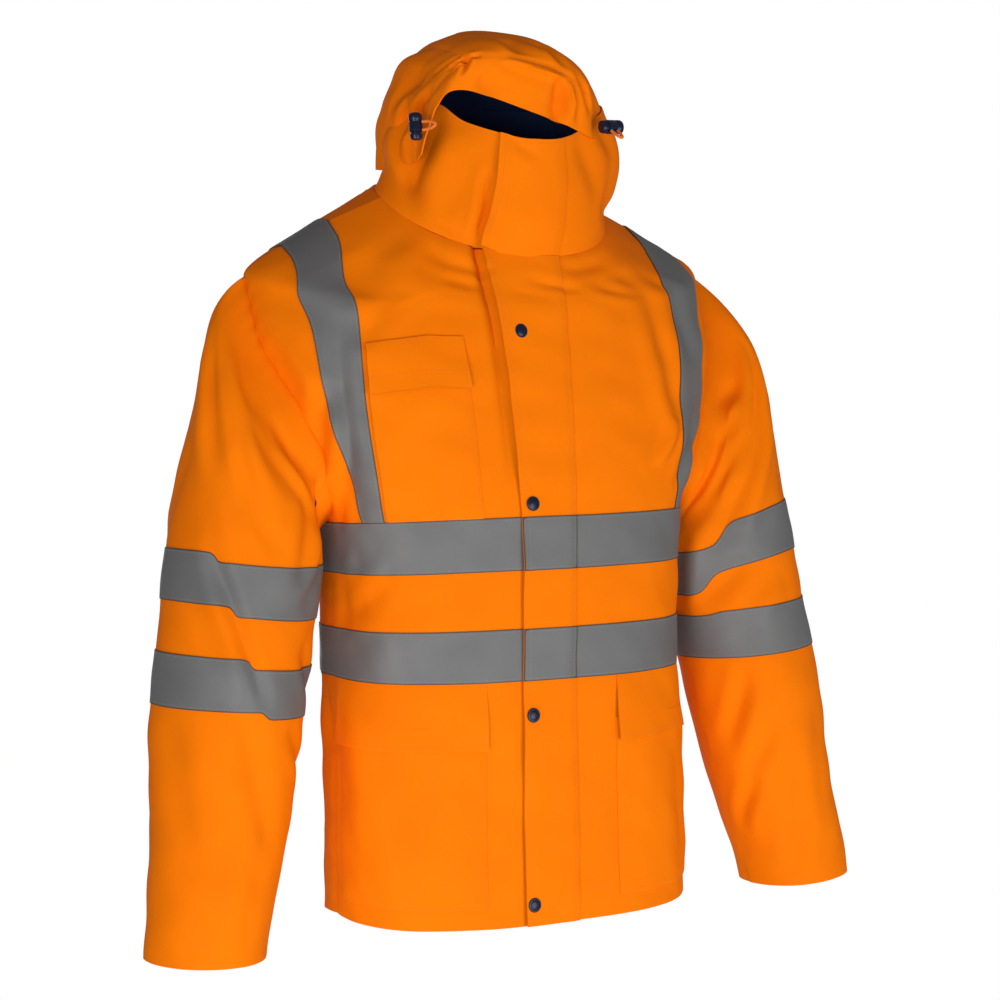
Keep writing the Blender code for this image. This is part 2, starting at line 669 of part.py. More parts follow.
def build_tapes(fronts, back, sleeves):
    tape = grey_tape()
    back, places, centre = back
    bands = {"low": LOW_TAPE, "high": HIGH_TAPE}
    for height, (bottom, top) in bands.items():
        rows = slice(ROW_OF[bottom], ROW_OF[top] + 1)
        right, marks = fronts["right"][:2]
        laid_on(right.block(rows, slice(marks["side"], marks["centre"] + 1)),
                "tape_%s_front_right" % height, tape)
        left, marks = fronts["left"][:2]
        laid_on(left.block(rows, slice(marks["flap_edge"], marks["side"] + 1)),
                "tape_%s_front_left" % height, tape)
        laid_on(back.block(rows, slice(None)), "tape_%s_back" % height, tape)
    for name, side in (("right", -1), ("left", 1)):
        brace(name, side, fronts[name], back, places, centre, tape)
        for height, row in (("high", 0), ("low", 2)):
            last = sleeves[name].spots.shape[0] - len(CAP_ROWS) - row - 1
            ring = sleeves[name].block(slice(last - 1, last + 1), slice(None))
            cloth_piece("tape_%s_sleeve_%s" % (height, name), ring, LAY_GAP, LAY_GAP + TAPE, tape,
                        closed=True)


def brace(name, side, front, back, places, centre, tape):
    """One strip from the upper tape in front, over the shoulder, to the tape behind."""
    sheet, marks = front[:2]
    rows = slice(ARMPIT_ROW, TOP_ROW + 1)
    if side < 0:
        ahead = sheet.block(rows, slice(marks["brace_outer"], marks["brace_inner"] + 1))
        columns = slice(centre + places["brace_inner"], centre + places["brace_outer"] + 1)
    else:
        ahead = sheet.block(rows, slice(marks["brace_inner"], marks["brace_outer"] + 1))
        columns = slice(centre - places["brace_outer"], centre - places["brace_inner"] + 1)
    behind = back.block(rows, columns)
    spots = np.concatenate((ahead.spots, behind.spots[-2::-1, ::-1]))
    outward = np.concatenate((ahead.outward, behind.outward[-2::-1, ::-1]))
    strip = Sheet(spots, outward).drawn_in(2 * SEAM_HALF, 2 * SEAM_HALF, 0.0, 0.0)
    cloth_piece("brace_" + name, strip, LAY_GAP, LAY_GAP + TAPE, tape)


def flap_sheet(fronts):
    """The front's points under the storm flap, from its free edge to its seam."""
    right, right_marks = fronts["right"][:2]
    left, left_marks = fronts["left"][:2]
    ahead = right.block(slice(None), slice(right_marks["flap_edge"], right_marks["centre"] + 1))
    after = left.block(slice(None), slice(left_marks["centre"] + 1, left_marks["flap_edge"] + 1))
    return Sheet(np.concatenate((ahead.spots, after.spots), axis=1),
                 np.concatenate((ahead.outward, after.outward), axis=1))


def build_storm_flap(fronts):
    sheet = flap_sheet(fronts)
    drawn = sheet.drawn_in(0.0, SEAM_HALF, 0.0, SEAM_HALF)
    cloth_piece("storm_flap", drawn, FLAP_TOP - CLOTH, FLAP_TOP, orange_cloth())
    for height, (bottom, top) in (("low", LOW_TAPE), ("high", HIGH_TAPE)):
        rows = slice(ROW_OF[bottom], ROW_OF[top] + 1)
        laid_on(sheet.block(rows, slice(None)), "tape_%s_flap" % height, grey_tape(),
                layer=FLAP_TOP, edges=2 * SEAM_HALF)


def build_pockets(fronts):
    orange = orange_cloth()
    for name in ("right", "left"):
        sheet, marks = fronts[name][:2]
        near, far = sorted((marks["pocket_edge"], marks["side"]))
        columns = slice(near, far) if name == "left" else slice(near + 1, far + 1)
        bag = sheet.block(slice(ROW_OF[POCKET_FOOT], ROW_OF[POCKET_MOUTH] + 1), columns)
        laid_on(bag, "pocket_" + name, orange, thickness=CLOTH)
        flap = sheet.block(slice(ROW_OF[FLAP_TIP], ROW_OF[LOW_TAPE[0]] + 1), columns)
        lift = np.array([POCKET_FLAP_TIP, POCKET_FLAP_FOLD, LAY_GAP])
        drawn = flap.drawn_in(0.0, 2 * SEAM_HALF, 0.0, 0.0)
        cloth_piece("pocket_flap_" + name, drawn, lift, lift + CLOTH, orange)
    sheet, marks = fronts["right"][:2]
    columns = slice(marks["brace_inner"], marks["pocket_edge"] + 1)
    bag = sheet.block(slice(ARMPIT_ROW, ARMPIT_ROW + 5), columns)
    drawn = bag.drawn_in(2 * SEAM_HALF, 0.0, 2 * SEAM_HALF, 0.0)
    cloth_piece("chest_pocket", drawn, LAY_GAP, LAY_GAP + CLOTH, orange)
    flap = sheet.block(slice(ARMPIT_ROW + 3, ARMPIT_ROW + 5), columns)
    drawn = flap.drawn_in(0.0, 0.0, 2 * SEAM_HALF, 0.0)
    lift = np.array([CHEST_FLAP_TIP, POCKET_FLAP_FOLD])
    cloth_piece("chest_pocket_flap", drawn, lift, lift + CLOTH, orange)


def build_collar(fronts):
    """One ring standing on the neck seam, from centre front round the back to the front."""
    left_angles, left_marks = fronts["left"][2], fronts["left"][1]
    right_angles, right_marks = fronts["right"][2], fronts["right"][1]
    left_row = left_angles[TOP_ROW, left_marks["centre"]:left_marks["neck_point"] + 1]
    right_row = right_angles[TOP_ROW, right_marks["neck_point"]:right_marks["centre"] + 1]
    back_angles, _, back_marks = half_panel(BACK_LINES, back=True)
    behind = back_angles[TOP_ROW, :back_marks["neck_point"] + 1]
    angles = np.concatenate((left_row, behind[::-1][1:], 360 - behind[1:], 360 - right_row[1:]))
    turn, up = np.meshgrid(angles, np.array(COLLAR_ROWS))
    outward = collar_normals(turn, up)
    outward[0] = seam_normals(np.where(angles > 180, angles - 360, angles))
    sheet = Sheet(collar(turn, up), outward)
    drawn = sheet.drawn_in(SEAM_HALF, 0.0, SEAM_HALF, SEAM_HALF)
    cloth_piece("collar", drawn, -CLOTH, 0.0, orange_cloth())
    inside = sheet.block(slice(1, None), slice(None)).drawn_in(0.0, MM, MM, MM)
    cloth_piece("collar_lining", inside, -CLOTH - LAY_GAP - MM, -CLOTH - LAY_GAP, navy_lining())
    build_collar_flap(sheet, right_marks, left_marks)


def build_collar_flap(sheet, right_marks, left_marks):
    """The storm flap's top, from its free edge over the closed front of the collar."""
    reach = right_marks["centre"] - right_marks["flap_edge"]
    inner = left_marks["flap_edge"] - left_marks["centre"]
    ahead = sheet.block(slice(None), slice(-1 - reach, None))
    after = sheet.block(slice(None), slice(1, inner + 1))
    spots = np.concatenate((ahead.spots, after.spots), axis=1)
    outward = np.concatenate((ahead.outward, after.outward), axis=1)
    drawn = Sheet(spots, outward).drawn_in(SEAM_HALF, 0.0, 0.0, SEAM_HALF)
    cloth_piece("collar_flap", drawn, FLAP_TOP - CLOTH, FLAP_TOP, orange_cloth())


def hood_place(back, turn):
    """Points and outward normals of the hood."""
    inner = np.clip(back, 0.012, 0.988)
    short = np.clip(turn, -89.0, 89.0)
    return hood(back, turn), -normals(hood, inner, short, 0.01, 0.6)


def hood_piece(name, backs, turns, seams):
    back, turn = np.meshgrid(np.array(backs), np.array(turns), indexing="ij")
    drawn = Sheet(*hood_place(back, turn)).drawn_in(*seams)
    return cloth_piece(name, drawn, -CLOTH, 0.0, orange_cloth())


def build_hood():
    side_turns = (-90.0, -80.0, -70.0, -60.0, -49.0, -CROWN_HALF)
    crown_turns = (-CROWN_HALF, -22.0, -7.0, 7.0, 22.0, CROWN_HALF)
    backs = (BRIM_DEPTH, 0.26, 0.38, 0.50, 0.62, 0.74, 0.87, 1.0)
    half = SEAM_HALF
    hood_piece("hood_side_right", backs, side_turns, (half, 0.0, 0.0, half))
    hood_piece("hood_side_left", backs, [-turn for turn in side_turns[::-1]], (half, 0.0, half, 0.0))
    hood_piece("hood_crown", backs, crown_turns, (half, 0.0, half, half))
    whole = side_turns + crown_turns[1:-1] + tuple(-turn for turn in side_turns[::-1])
    hood_piece("hood_brim", (0.0, 0.07, BRIM_DEPTH), whole, (0.0, half, 0.0, 0.0))


# ======================================================================================
# hardware
# ======================================================================================
def aligned(mesh_object, place, axis):
    mesh_object.location = place
    mesh_object.rotation_euler = Vector(axis).to_track_quat("Z", "Y").to_euler()


def turned(name, profile, sides, finish):
    """A solid turned about Z from (radius, height) pairs, closed at both ends."""
    bm = bmesh.new()
    rings = []
    for radius, height in profile:
        rings.append([bm.verts.new((radius * math.cos(math.tau * k / sides),
                                    radius * math.sin(math.tau * k / sides), height))
                      for k in range(sides)])
    for lower, upper in zip(rings, rings[1:]):
        for place in range(sides):
            after = (place + 1) % sides
            bm.faces.new((lower[place], lower[after], upper[after], upper[place]))
    bm.faces.new(rings[0][::-1])
    bm.faces.new(rings[-1])
    bmesh.ops.recalc_face_normals(bm, faces=bm.faces)
    mesh = bpy.data.meshes.new(name)
    bm.to_mesh(mesh)
    bm.free()
    mesh.shade_smooth()
    mesh.set_sharp_from_angle(angle=math.radians(50))
    return put(name, mesh, finish)


def snap_place(level, x):
    """Point and outward normal of a snap, where the storm flap crosses a level."""
    across = abs(x) / torso_at("half_width", level)
    angle = -np.degrees(np.arcsin(across ** (torso_at("square", level) / 2)))
    return torso(angle, np.array(level)), torso_normals(angle, np.array(level))


def build_snaps():
    profile = ((SNAP_RADIUS, 0.0), (SNAP_RADIUS, 1.2 * MM), (SNAP_RADIUS - 1.2 * MM, 2.2 * MM),
               (SNAP_RADIUS / 2, SNAP_HEIGHT))
    for name, level, x in SNAPS:
        spot, outward = snap_place(level, x)
        snap = turned(name, profile, 16, navy_plastic())
        aligned(snap, Vector(spot + outward * (FLAP_TOP + SNAP_CLEARANCE)), outward)


def build_cord_locks():
    half = LOCK_LENGTH / 2
    waist = LOCK_RADIUS
    profile = ((waist * 0.55, -half), (waist * 0.9, -half + 2.5 * MM), (waist, -half + 6 * MM),
               (waist, half - 6 * MM), (waist * 0.9, half - 2.5 * MM), (waist * 0.55, half))
    for row in LOCKS:
        lock = dict(zip(LOCK_COLUMNS, row))
        place, outward = hood_place(lock["back"], lock["turn"])
        place = Vector(place + outward * lock["stand_off"])
        axis = Vector(lock["axis"]).normalized()
        aligned(turned(lock["name"], profile, 12, navy_plastic()), place, axis)
        build_cord_loop(lock["name"].replace("lock", "loop"), place, axis, Vector(lock["loop"]))


def build_cord_loop(name, lock, axis, loop):
    """The end of the drawcord: a loop out of the lock's side and back to it."""
    away = (loop - axis * loop.dot(axis)).normalized()
    start = lock + away * (LOCK_RADIUS + LAY_GAP)
    curve = bpy.data.curves.new(name, "CURVE")
    curve.dimensions = "3D"
    curve.bevel_depth = CORD_DIAMETER / 2
    curve.bevel_resolution = 2
    curve.use_fill_caps = True
    steps = 14
    spline = curve.splines.new("POLY")
    spline.points.add(steps)
    for step in range(steps + 1):
        turn = math.pi * (step / steps)
        spot = (start + axis * (LOOP_HALF_WIDTH * -math.cos(turn))
                + away * (LOOP_REACH * math.sin(turn)))
        spline.points[step].co = (*spot, 1.0)
    made = bpy.data.objects.new(name, curve)
    made.data.materials.append(orange_cord())
    bpy.context.scene.collection.objects.link(made)


def clear_scene():
    for item in list(bpy.data.objects):
        bpy.data.objects.remove(item, do_unlink=True)


def main():
    clear_scene()
    fronts, back, sleeves = build_body()
    build_tapes(fronts, back, sleeves)
    build_storm_flap(fronts)
    build_pockets(fronts)
    build_collar(fronts)
    build_hood()
    build_snaps()
    build_cord_locks()


main()
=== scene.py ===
"""The hi-vis work jacket as it looks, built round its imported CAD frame.

Metres, +Z up, the jacket faces -Y and the wearer's right arm is at -X. The cloth is a thin
shell on the torso, sleeve, collar and hood surfaces of the CAD. These are eased a little: with
their creases they stray up to 15 mm from the CAD at the shoulders, and 24 mm at the collar and
the hood's edges. Whatever lies on a panel follows the panel's creases.
"""
import math

import bpy
import numpy as np
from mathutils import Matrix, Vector


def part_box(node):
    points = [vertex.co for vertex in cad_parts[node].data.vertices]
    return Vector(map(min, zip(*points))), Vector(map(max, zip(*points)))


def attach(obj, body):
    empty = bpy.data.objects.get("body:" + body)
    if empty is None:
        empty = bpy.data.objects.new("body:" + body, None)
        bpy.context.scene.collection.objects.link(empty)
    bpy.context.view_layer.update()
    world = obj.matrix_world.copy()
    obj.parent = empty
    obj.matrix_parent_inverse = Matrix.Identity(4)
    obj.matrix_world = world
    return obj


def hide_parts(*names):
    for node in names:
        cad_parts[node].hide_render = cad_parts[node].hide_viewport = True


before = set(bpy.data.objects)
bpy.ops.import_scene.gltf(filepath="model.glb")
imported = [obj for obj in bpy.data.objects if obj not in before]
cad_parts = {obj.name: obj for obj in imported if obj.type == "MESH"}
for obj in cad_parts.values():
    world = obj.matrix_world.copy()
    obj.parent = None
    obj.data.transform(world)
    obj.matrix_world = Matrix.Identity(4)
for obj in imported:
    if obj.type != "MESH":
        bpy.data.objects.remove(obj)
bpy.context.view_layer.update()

MM = 0.001

# ---- camera and room ----------------------------------------------------------------
CAMERA_TURN = -30.0
CAMERA_RISE = 1.8
CAMERA_REACH = 2.32
CAMERA_LENS = 80.28
CAMERA_SENSOR = 36.0
CAMERA_AIM = Vector((0.0061, -0.0035, -0.293))
FLOOR_LEVEL = -1.45         # where a wearer of ordinary height would stand
FLOOR_RADIUS = 1.9
WORLD_LIGHT = 0.25          # the white surroundings' light, against how bright they look
LIGHTS = (                  # name, azimuth and rise in degrees, reach, size and power
    ("key", -40, -12, 2.6, 1.6, 37),
    ("fill", 16, -12, 2.8, 1.6, 31),
    ("behind", 165, 4, 2.8, 1.8, 22),
)

# ---- sizes of the cloth --------------------------------------------------------------
STEP = 4.0 * MM             # spacing of the cloth's points
SHELL = 1.4 * MM            # shown thickness of the cloth
TAPE = 0.7 * MM
TAPE_TOP = 1.0 * MM         # outer face of a tape above the cloth it is sewn to
FLAP_TOP = 3.6 * MM
POCKET_TOP = 2.0 * MM
SEAM_SINK = 0.7 * MM        # how deep and how wide a seam pulls the cloth in
SEAM_REACH = 3.0 * MM
PUCKER_WAVE = 0.021         # length of the short waves along a seam
LIP = 4.0 * MM              # cloth turned in under its neighbour at a seam
TAPE_STITCH = 2.6 * MM      # stitch lines inside the edges they follow
EDGE_STITCH = 3.0 * MM
FLAP_STITCH = 5.0 * MM
FREE_STITCH = 7.0 * MM
GUTTER_DEPTH = 11.0 * MM    # hollow beside the storm flap's free edge
GUTTER_ASIDE = 4.0 * MM
GUTTER_HALF_WIDTH = 6.0 * MM
GUTTER_FOOT = -0.27
POCKET_SWELL = 2.5 * MM     # how far a lower pocket swells, and how soon inside its edges
POCKET_SWELL_REACH = 0.03
POCKET_HANG = {"base": 0.6, "lift": 6.0, "power": 0.8, "ripple": 1.2, "waves": 46, "start": 0.6}
CHEST_HANG = {"base": 2.5, "lift": 4.0, "power": 0.9, "ripple": 0.7, "waves": 52, "start": 1.0}
STITCH_LENGTH = 2.3 * MM
STITCH_PITCH = 3.2 * MM
STITCH_WIDTH = 0.55 * MM
STITCH_HEIGHT = 0.28 * MM

HEM = -0.697
POCKET_FOOT = -0.678
POCKET_MOUTH = -0.505
FLAP_TIP = -0.527
LOW_TAPE = (-0.4635, -0.4145)
HIGH_TAPE = (-0.361, -0.311)
ARMPIT = HIGH_TAPE[1]
SHOULDER_TIP = -0.068
NECK = 0.015
LOWER_STOPS = (HEM, POCKET_FOOT, FLAP_TIP, POCKET_MOUTH, *LOW_TAPE, *HIGH_TAPE)
CHEST_FLAP = (0.43, 0.63)   # shares of the way from the armpit up to the neck or shoulder
UPPER_STOPS = (0.0, 0.15, *CHEST_FLAP, 0.87, 0.94, 1.0)
UPPER_HEIGHT = 0.30

# ---- torso: one row per ring, named by its height at the side --------------------------
TORSO_COLUMNS = ("level", "half_width", "side_y", "front_y", "back_y", "front_rise", "back_rise",
                 "left_rise", "square")
TORSO = (
    (-0.697, 0.198, -0.035, -0.128, 0.075, -0.012, -0.004, -0.004, 2.6),
    (-0.600, 0.196, -0.026, -0.124, 0.078, -0.010, -0.002, 0.000, 2.6),
    (-0.467, 0.194, -0.018, -0.121, 0.084, -0.006, 0.000, 0.002, 2.7),
    (-0.390, 0.194, -0.017, -0.120, 0.090, -0.003, 0.000, 0.006, 2.8),
    (-0.311, 0.199, -0.014, -0.119, 0.096, 0.000, 0.000, 0.011, 2.9),
    (-0.268, 0.222, -0.008, -0.117, 0.102, -0.001, 0.001, 0.009, 2.7),
    (-0.200, 0.246, 0.005, -0.112, 0.108, -0.006, 0.004, 0.006, 2.4),
    (-0.120, 0.267, 0.020, -0.105, 0.110, -0.026, 0.012, 0.013, 2.1),
    (SHOULDER_TIP, 0.264, 0.034, -0.099, 0.108, -0.043, 0.017, 0.024, 2.0),
    (-0.022, 0.200, 0.029, -0.092, 0.100, -0.058, 0.022, 0.014, 2.0),
    (NECK, 0.128, 0.005, -0.085, 0.085, -0.061, 0.037, 0.000, 2.0),
)
ARMHOLE_COLUMNS = ("level", "front_bite", "back_bite")
ARMHOLE = (
    (ARMPIT, 0.00, 0.00),
    (-0.285, 0.33, 0.25),
    (-0.250, 0.42, 0.32),
    (-0.200, 0.37, 0.28),
    (-0.160, 0.24, 0.19),
    (-0.120, 0.12, 0.11),
    (-0.090, 0.07, 0.07),
    (SHOULDER_TIP, 0.00, 0.00),
)

# ---- panel lines, with the number of cells from the line before -------------------------
LINE_COLUMNS = ("name", "share", "neck_angle", "ridge_x", "bow", "high_bow", "cells")
HIGH_BOW_AT = 0.90                  # share of the way up where the high bow is widest
HIGH_BOW_REACH = 0.09
RIGHT_LINES = (
    ("centre", 0.000, 0.0, None, 0.000, 0.000, 0),
    ("flap_edge", 0.185, 27.0, None, 0.000, 0.000, 10),
    ("pocket_edge", 0.390, 50.0, None, 0.000, 0.000, 11),
    ("neck_point", 0.620, 90.0, None, 0.000, 0.000, 13),
    ("brace_inner", 0.860, None, 0.178, 0.014, 0.010, 14),
    ("brace_outer", 0.940, None, 0.226, 0.016, 0.008, 12),
    ("side", 1.000, None, 0.264, 0.000, 0.000, 14),
)
LEFT_LINES = (
    ("centre", 0.000, 0.0, None, 0.000, 0.000, 0),
    ("flap_edge", 0.134, 12.0, None, 0.000, 0.000, 7),
    ("pocket_edge", 0.390, 40.0, None, 0.000, 0.000, 13),
    ("neck_point", 0.620, 90.0, None, 0.000, 0.000, 13),
    ("brace_inner", 0.825, None, 0.178, 0.008, -0.010, 14),
    ("brace_outer", 0.950, None, 0.226, 0.014, 0.013, 12),
    ("side", 1.000, None, 0.264, 0.000, 0.000, 14),
)
BACK_LINES = (
    ("centre", 0.000, 0.0, None, 0.000, 0.000, 0),
    ("neck_point", 0.560, 90.0, None, 0.000, 0.000, 28),
    ("brace_inner", 0.800, None, 0.178, 0.004, 0.000, 14),
    ("brace_outer", 0.945, None, 0.226, 0.006, 0.000, 12),
    ("side", 1.000, None, 0.264, 0.000, 0.000, 14),
)

# ---- arms ---------------------------------------------------------------------------
ARM_COLUMNS = ("z", "x", "y", "radius_x", "radius_y")
ARM = (
    (-0.725, 0.349, -0.062, 0.057, 0.058),
    (-0.690, 0.3438, -0.0574, 0.059, 0.060),
    (-0.600, 0.326, -0.0415, 0.066, 0.067),
    (-0.500, 0.312, -0.028, 0.073, 0.073),
    (-0.420, 0.298, -0.0165, 0.0745, 0.075),
    (-0.340, 0.2835, -0.007, 0.0765, 0.077),
    (-0.270, 0.270, 0.000, 0.0765, 0.078),
)
# how far each cap leans outwards, forwards and up halfway along
CAP_LEAN = {"right": (-0.015, -0.018, 0.006), "left": (-0.005, -0.016, 0.013)}
SLEEVE_COLUMNS = ("z", "rise_outwards")
SLEEVE_ROWS = {                     # the first four rows are the edges of the two tapes
    "right": ((-0.342, 0.12), (-0.391, 0.12), (-0.437, 0.09), (-0.485, 0.06), (-0.545, 0.05),
              (-0.605, 0.04), (-0.665, 0.03), (-0.717, 0.02)),
    "left": ((-0.323, 0.30), (-0.371, 0.29), (-0.410, 0.12), (-0.459, 0.10), (-0.525, 0.12),
             (-0.590, 0.12), (-0.650, 0.11), (-0.706, 0.10)),
}
SLEEVE_TURNS = 60                   # points from the outside of the arm to the inside
CAP_CELLS = 34
CAP_LEAVE = (0.95, -0.25, -0.55)    # outwards, forwards and up, as the cap leaves the armhole
CAP_ARRIVE = (0.16, -0.10, -0.98)   # and as it runs on into the sleeve
ROW_CELLS = 14

# ---- collar and hood ------------------------------------------------------------------
COLLAR_COLUMNS = ("up", "half_width", "x", "front_y", "back_y", "front_z", "side_z", "back_z",
                  "left_rise", "dip")
COLLAR = (
    (0.00, 0.128, 0.000, -0.085, 0.085, -0.046, NECK, 0.052, 0.000, 1.0),
    (0.35, 0.117, 0.004, -0.096, 0.086, -0.006, 0.043, 0.077, 0.002, 1.2),
    (0.70, 0.109, 0.004, -0.100, 0.084, 0.033, 0.076, 0.098, 0.007, 1.6),
    (1.00, 0.100, 0.002, -0.101, 0.080, 0.062, 0.104, 0.114, 0.014, 1.9),
)
COLLAR_MIDDLE_Y = 0.005
COLLAR_FLAP = (-27.0, 12.0)         # free edge and seam of the storm flap on the collar
HOOD_COLUMNS = ("back", "half_span", "x", "end_y", "end_z", "top_y", "top_z", "square_right",
                "square_left", "lean", "left_back")
HOOD = (
    (0.00, 0.116, -0.001, -0.054, 0.052, -0.098, 0.093, 6.0, 2.5, -0.25, 0.014),
    (0.14, 0.118, 0.001, -0.034, 0.048, -0.108, 0.140, 3.6, 2.0, -0.15, 0.008),
    (0.35, 0.122, 0.004, 0.000, 0.046, -0.072, 0.172, 3.0, 2.1, -0.06, 0.000),
    (0.55, 0.121, 0.004, 0.032, 0.046, -0.010, 0.186, 2.8, 2.2, -0.03, 0.000),
    (0.78, 0.109, 0.003, 0.064, 0.050, 0.076, 0.152, 2.6, 2.2, 0.00, 0.000),
    (1.00, 0.084, 0.000, 0.078, 0.054, 0.0935, 0.060, 2.3, 2.1, 0.00, 0.000),
)
BRIM_DEPTH = 0.14
CROWN_HALF = 38.0

# ---- hardware -----------------------------------------------------------------------
SNAPS = (("snap_1", -0.098, -0.029),
         ("snap_2", -0.298, -0.025),
         ("snap_3", -0.496, -0.026),
         ("snap_4", -0.677, -0.028))
SNAP_PROFILE = ((4.8, 0.0), (6.6, 0.0), (7.2, 0.4), (7.2, 1.1), (6.9, 1.5), (6.2, 1.7), (5.7, 1.6),
                (5.2, 1.8), (4.0, 2.2), (2.4, 2.45), (1.0, 2.55))       # radius and height, in mm
SNAP_SINK = 1.6 * MM
LOCKS = (("cord_lock_right", (-0.06, 0.02, 1.0), (0.55, -0.80, 0.10)),   # axis, loop's way
         ("cord_lock_left", (0.85, 0.05, 0.05), (-0.35, -0.75, -0.55)))
LOCK_LENGTH = 27 * MM
LOCK_RADIUS = 7.2 * MM
LOCK_SQUASH = 0.86
LOCK_PROFILE = ((0.50, 0.0), (0.86, 1.2), (0.94, 3.0), (0.94, 6.0), (0.78, 6.6), (0.78, 7.8),
                (1.00, 8.4), (1.00, 17.0), (0.92, 17.6), (0.92, 18.8), (1.00, 19.4), (1.00, 24.0),
                (0.88, 25.8), (0.55, 27.0))     # share of the radius, and mm up from the foot
CORD_DIAMETER = 3 * MM
CORD_GAP = 0.3 * MM
LOOP_HALF_WIDTH = 4 * MM
LOOP_REACH = 14 * MM
LOOP_STEPS = 28

# ---- creases: from one end to the other on their surface, bowed sideways, with half width
# and height (minus is a trough), in millimetres. Turns are in degrees. The last column is
# there only where the crease is pinched to a sharper middle.
CREASE_GAIN = 1.3                   # all creases, against the heights in the tables
CREASE_COLUMNS = ("turn_1", "place_1", "turn_2", "place_2", "bow", "half_width", "height", "pinch")
FOLD_COLUMNS = ("across", "along", "slope", "half_length", "half_width", "depth")
TORSO_DEGREE = 0.0028               # metres round the torso to a degree of its angle
TORSO_FOLDS = (
    (-62.0, -0.265, 160.0, 0.060, 0.016, -0.006),
    (-40.0, -0.235, 190.0, 0.070, 0.020, 0.003),
    (62.0, -0.262, -160.0, 0.060, 0.016, -0.006),
    (42.0, -0.225, -200.0, 0.070, 0.020, 0.003),
    (-84.0, -0.385, 0.0, 0.050, 0.014, -0.004),
    (150.0, -0.250, -150.0, 0.080, 0.020, -0.005),
    (-150.0, -0.262, 150.0, 0.075, 0.020, -0.005),
)
TORSO_CREASES = (
    # the chest on the wearer's right: from the armhole, across the brace, under the collar
    (-54, -165, -74, -262, 4, 10, -4.2),
    (-68, -120, -62, -215, -3, 12, 2.2),
    (-49, -85, -58, -260, -4, 7, -3.4, 1),
    (-37, -62, -44, -128, 3, 9, -2.6),
    (-62, -18, -34, -62, 4, 16, -4.5),
    (-52, -2, -27, -50, 3, 12, 2.6),
    (-46, 4, -16, -12, 2, 5, -2.2),
    (-30, -20, -16, -34, 0, 6, -1.4),
    # beside and on the storm flap
    (10, -4, 40, 4, 3, 7, -2.2),
    (-6, -12, 14, -36, 3, 7, -1.6),
    (18, -30, 30, -60, 0, 8, -1.6),
    # the chest on the wearer's left, down towards the brace
    (34, -14, 42, -225, 10, 10, -3.6),
    (42, -20, 50, -150, 6, 11, -3),
    (30, -60, 36, -240, 8, 10, 1.8),
    (37, -205, 30, -262, -6, 8, 4.6),
    (56, -196, 44, -290, 4, 8, -5, 1),
    # into the armpits
    (-70, -236, -88, -306, 3, 6, -5, 1),
    (-60, -262, -84, -318, 4, 8, -2.6),
    (72, -232, 88, -306, -3, 6, -5, 1),
    (58, -262, 82, -320, -4, 8, -2.6),
    # between the tapes and over the hip
    (-88, -404, -50, -366, 4, 12, -3),
    (-66, -398, -18, -380, 2, 13, -1.6),
    (-86, -366, -72, -338, 0, 10, 2),
    (-96, -470, -90, -540, 4, 12, -3),
    (-78, -470, -70, -640, -4, 18, 1.6),
    (-52, -560, -44, -680, 3, 16, -1.4),
    (-34, -480, -38, -600, 3, 14, -1.2),
    (66, -330, 84, -402, 3, 10, -3),
    (72, -470, 84, -620, 6, 14, -3),
    (52, -540, 58, -670, 3, 16, -1.4),
    (26, -480, 22, -660, 2, 16, -1),
    # the back: from the shoulder blades to the armpits and down the middle
    (128, -80, 104, -260, 10, 14, -4.6),
    (140, -120, 112, -290, 8, 15, 2.6),
    (158, -60, 150, -230, 6, 16, -3),
    (-126, -70, -102, -250, -12, 14, -4.8),
    (-142, -110, -116, -295, -6, 15, 2.6),
    (-160, -50, -154, -210, -4, 16, -2.8),
    (176, -120, -176, -330, 6, 20, -2.4),
    (150, 30, -152, 28, -8, 10, -2.6),
    (120, -380, 164, -400, 6, 13, -2.6),
    (-118, -392, -160, -372, 5, 13, -2.6),
    (136, -480, 128, -660, 6, 18, -2.4),
    (-140, -500, -134, -680, 4, 18, -2.4),
    (172, -470, 166, -690, 4, 20, 1.8),
    (104, -440, 110, -600, 4, 14, -2.6),
    (-106, -420, -112, -620, 4, 14, -2.6),
)
SLEEVE_DEGREE = 0.0013
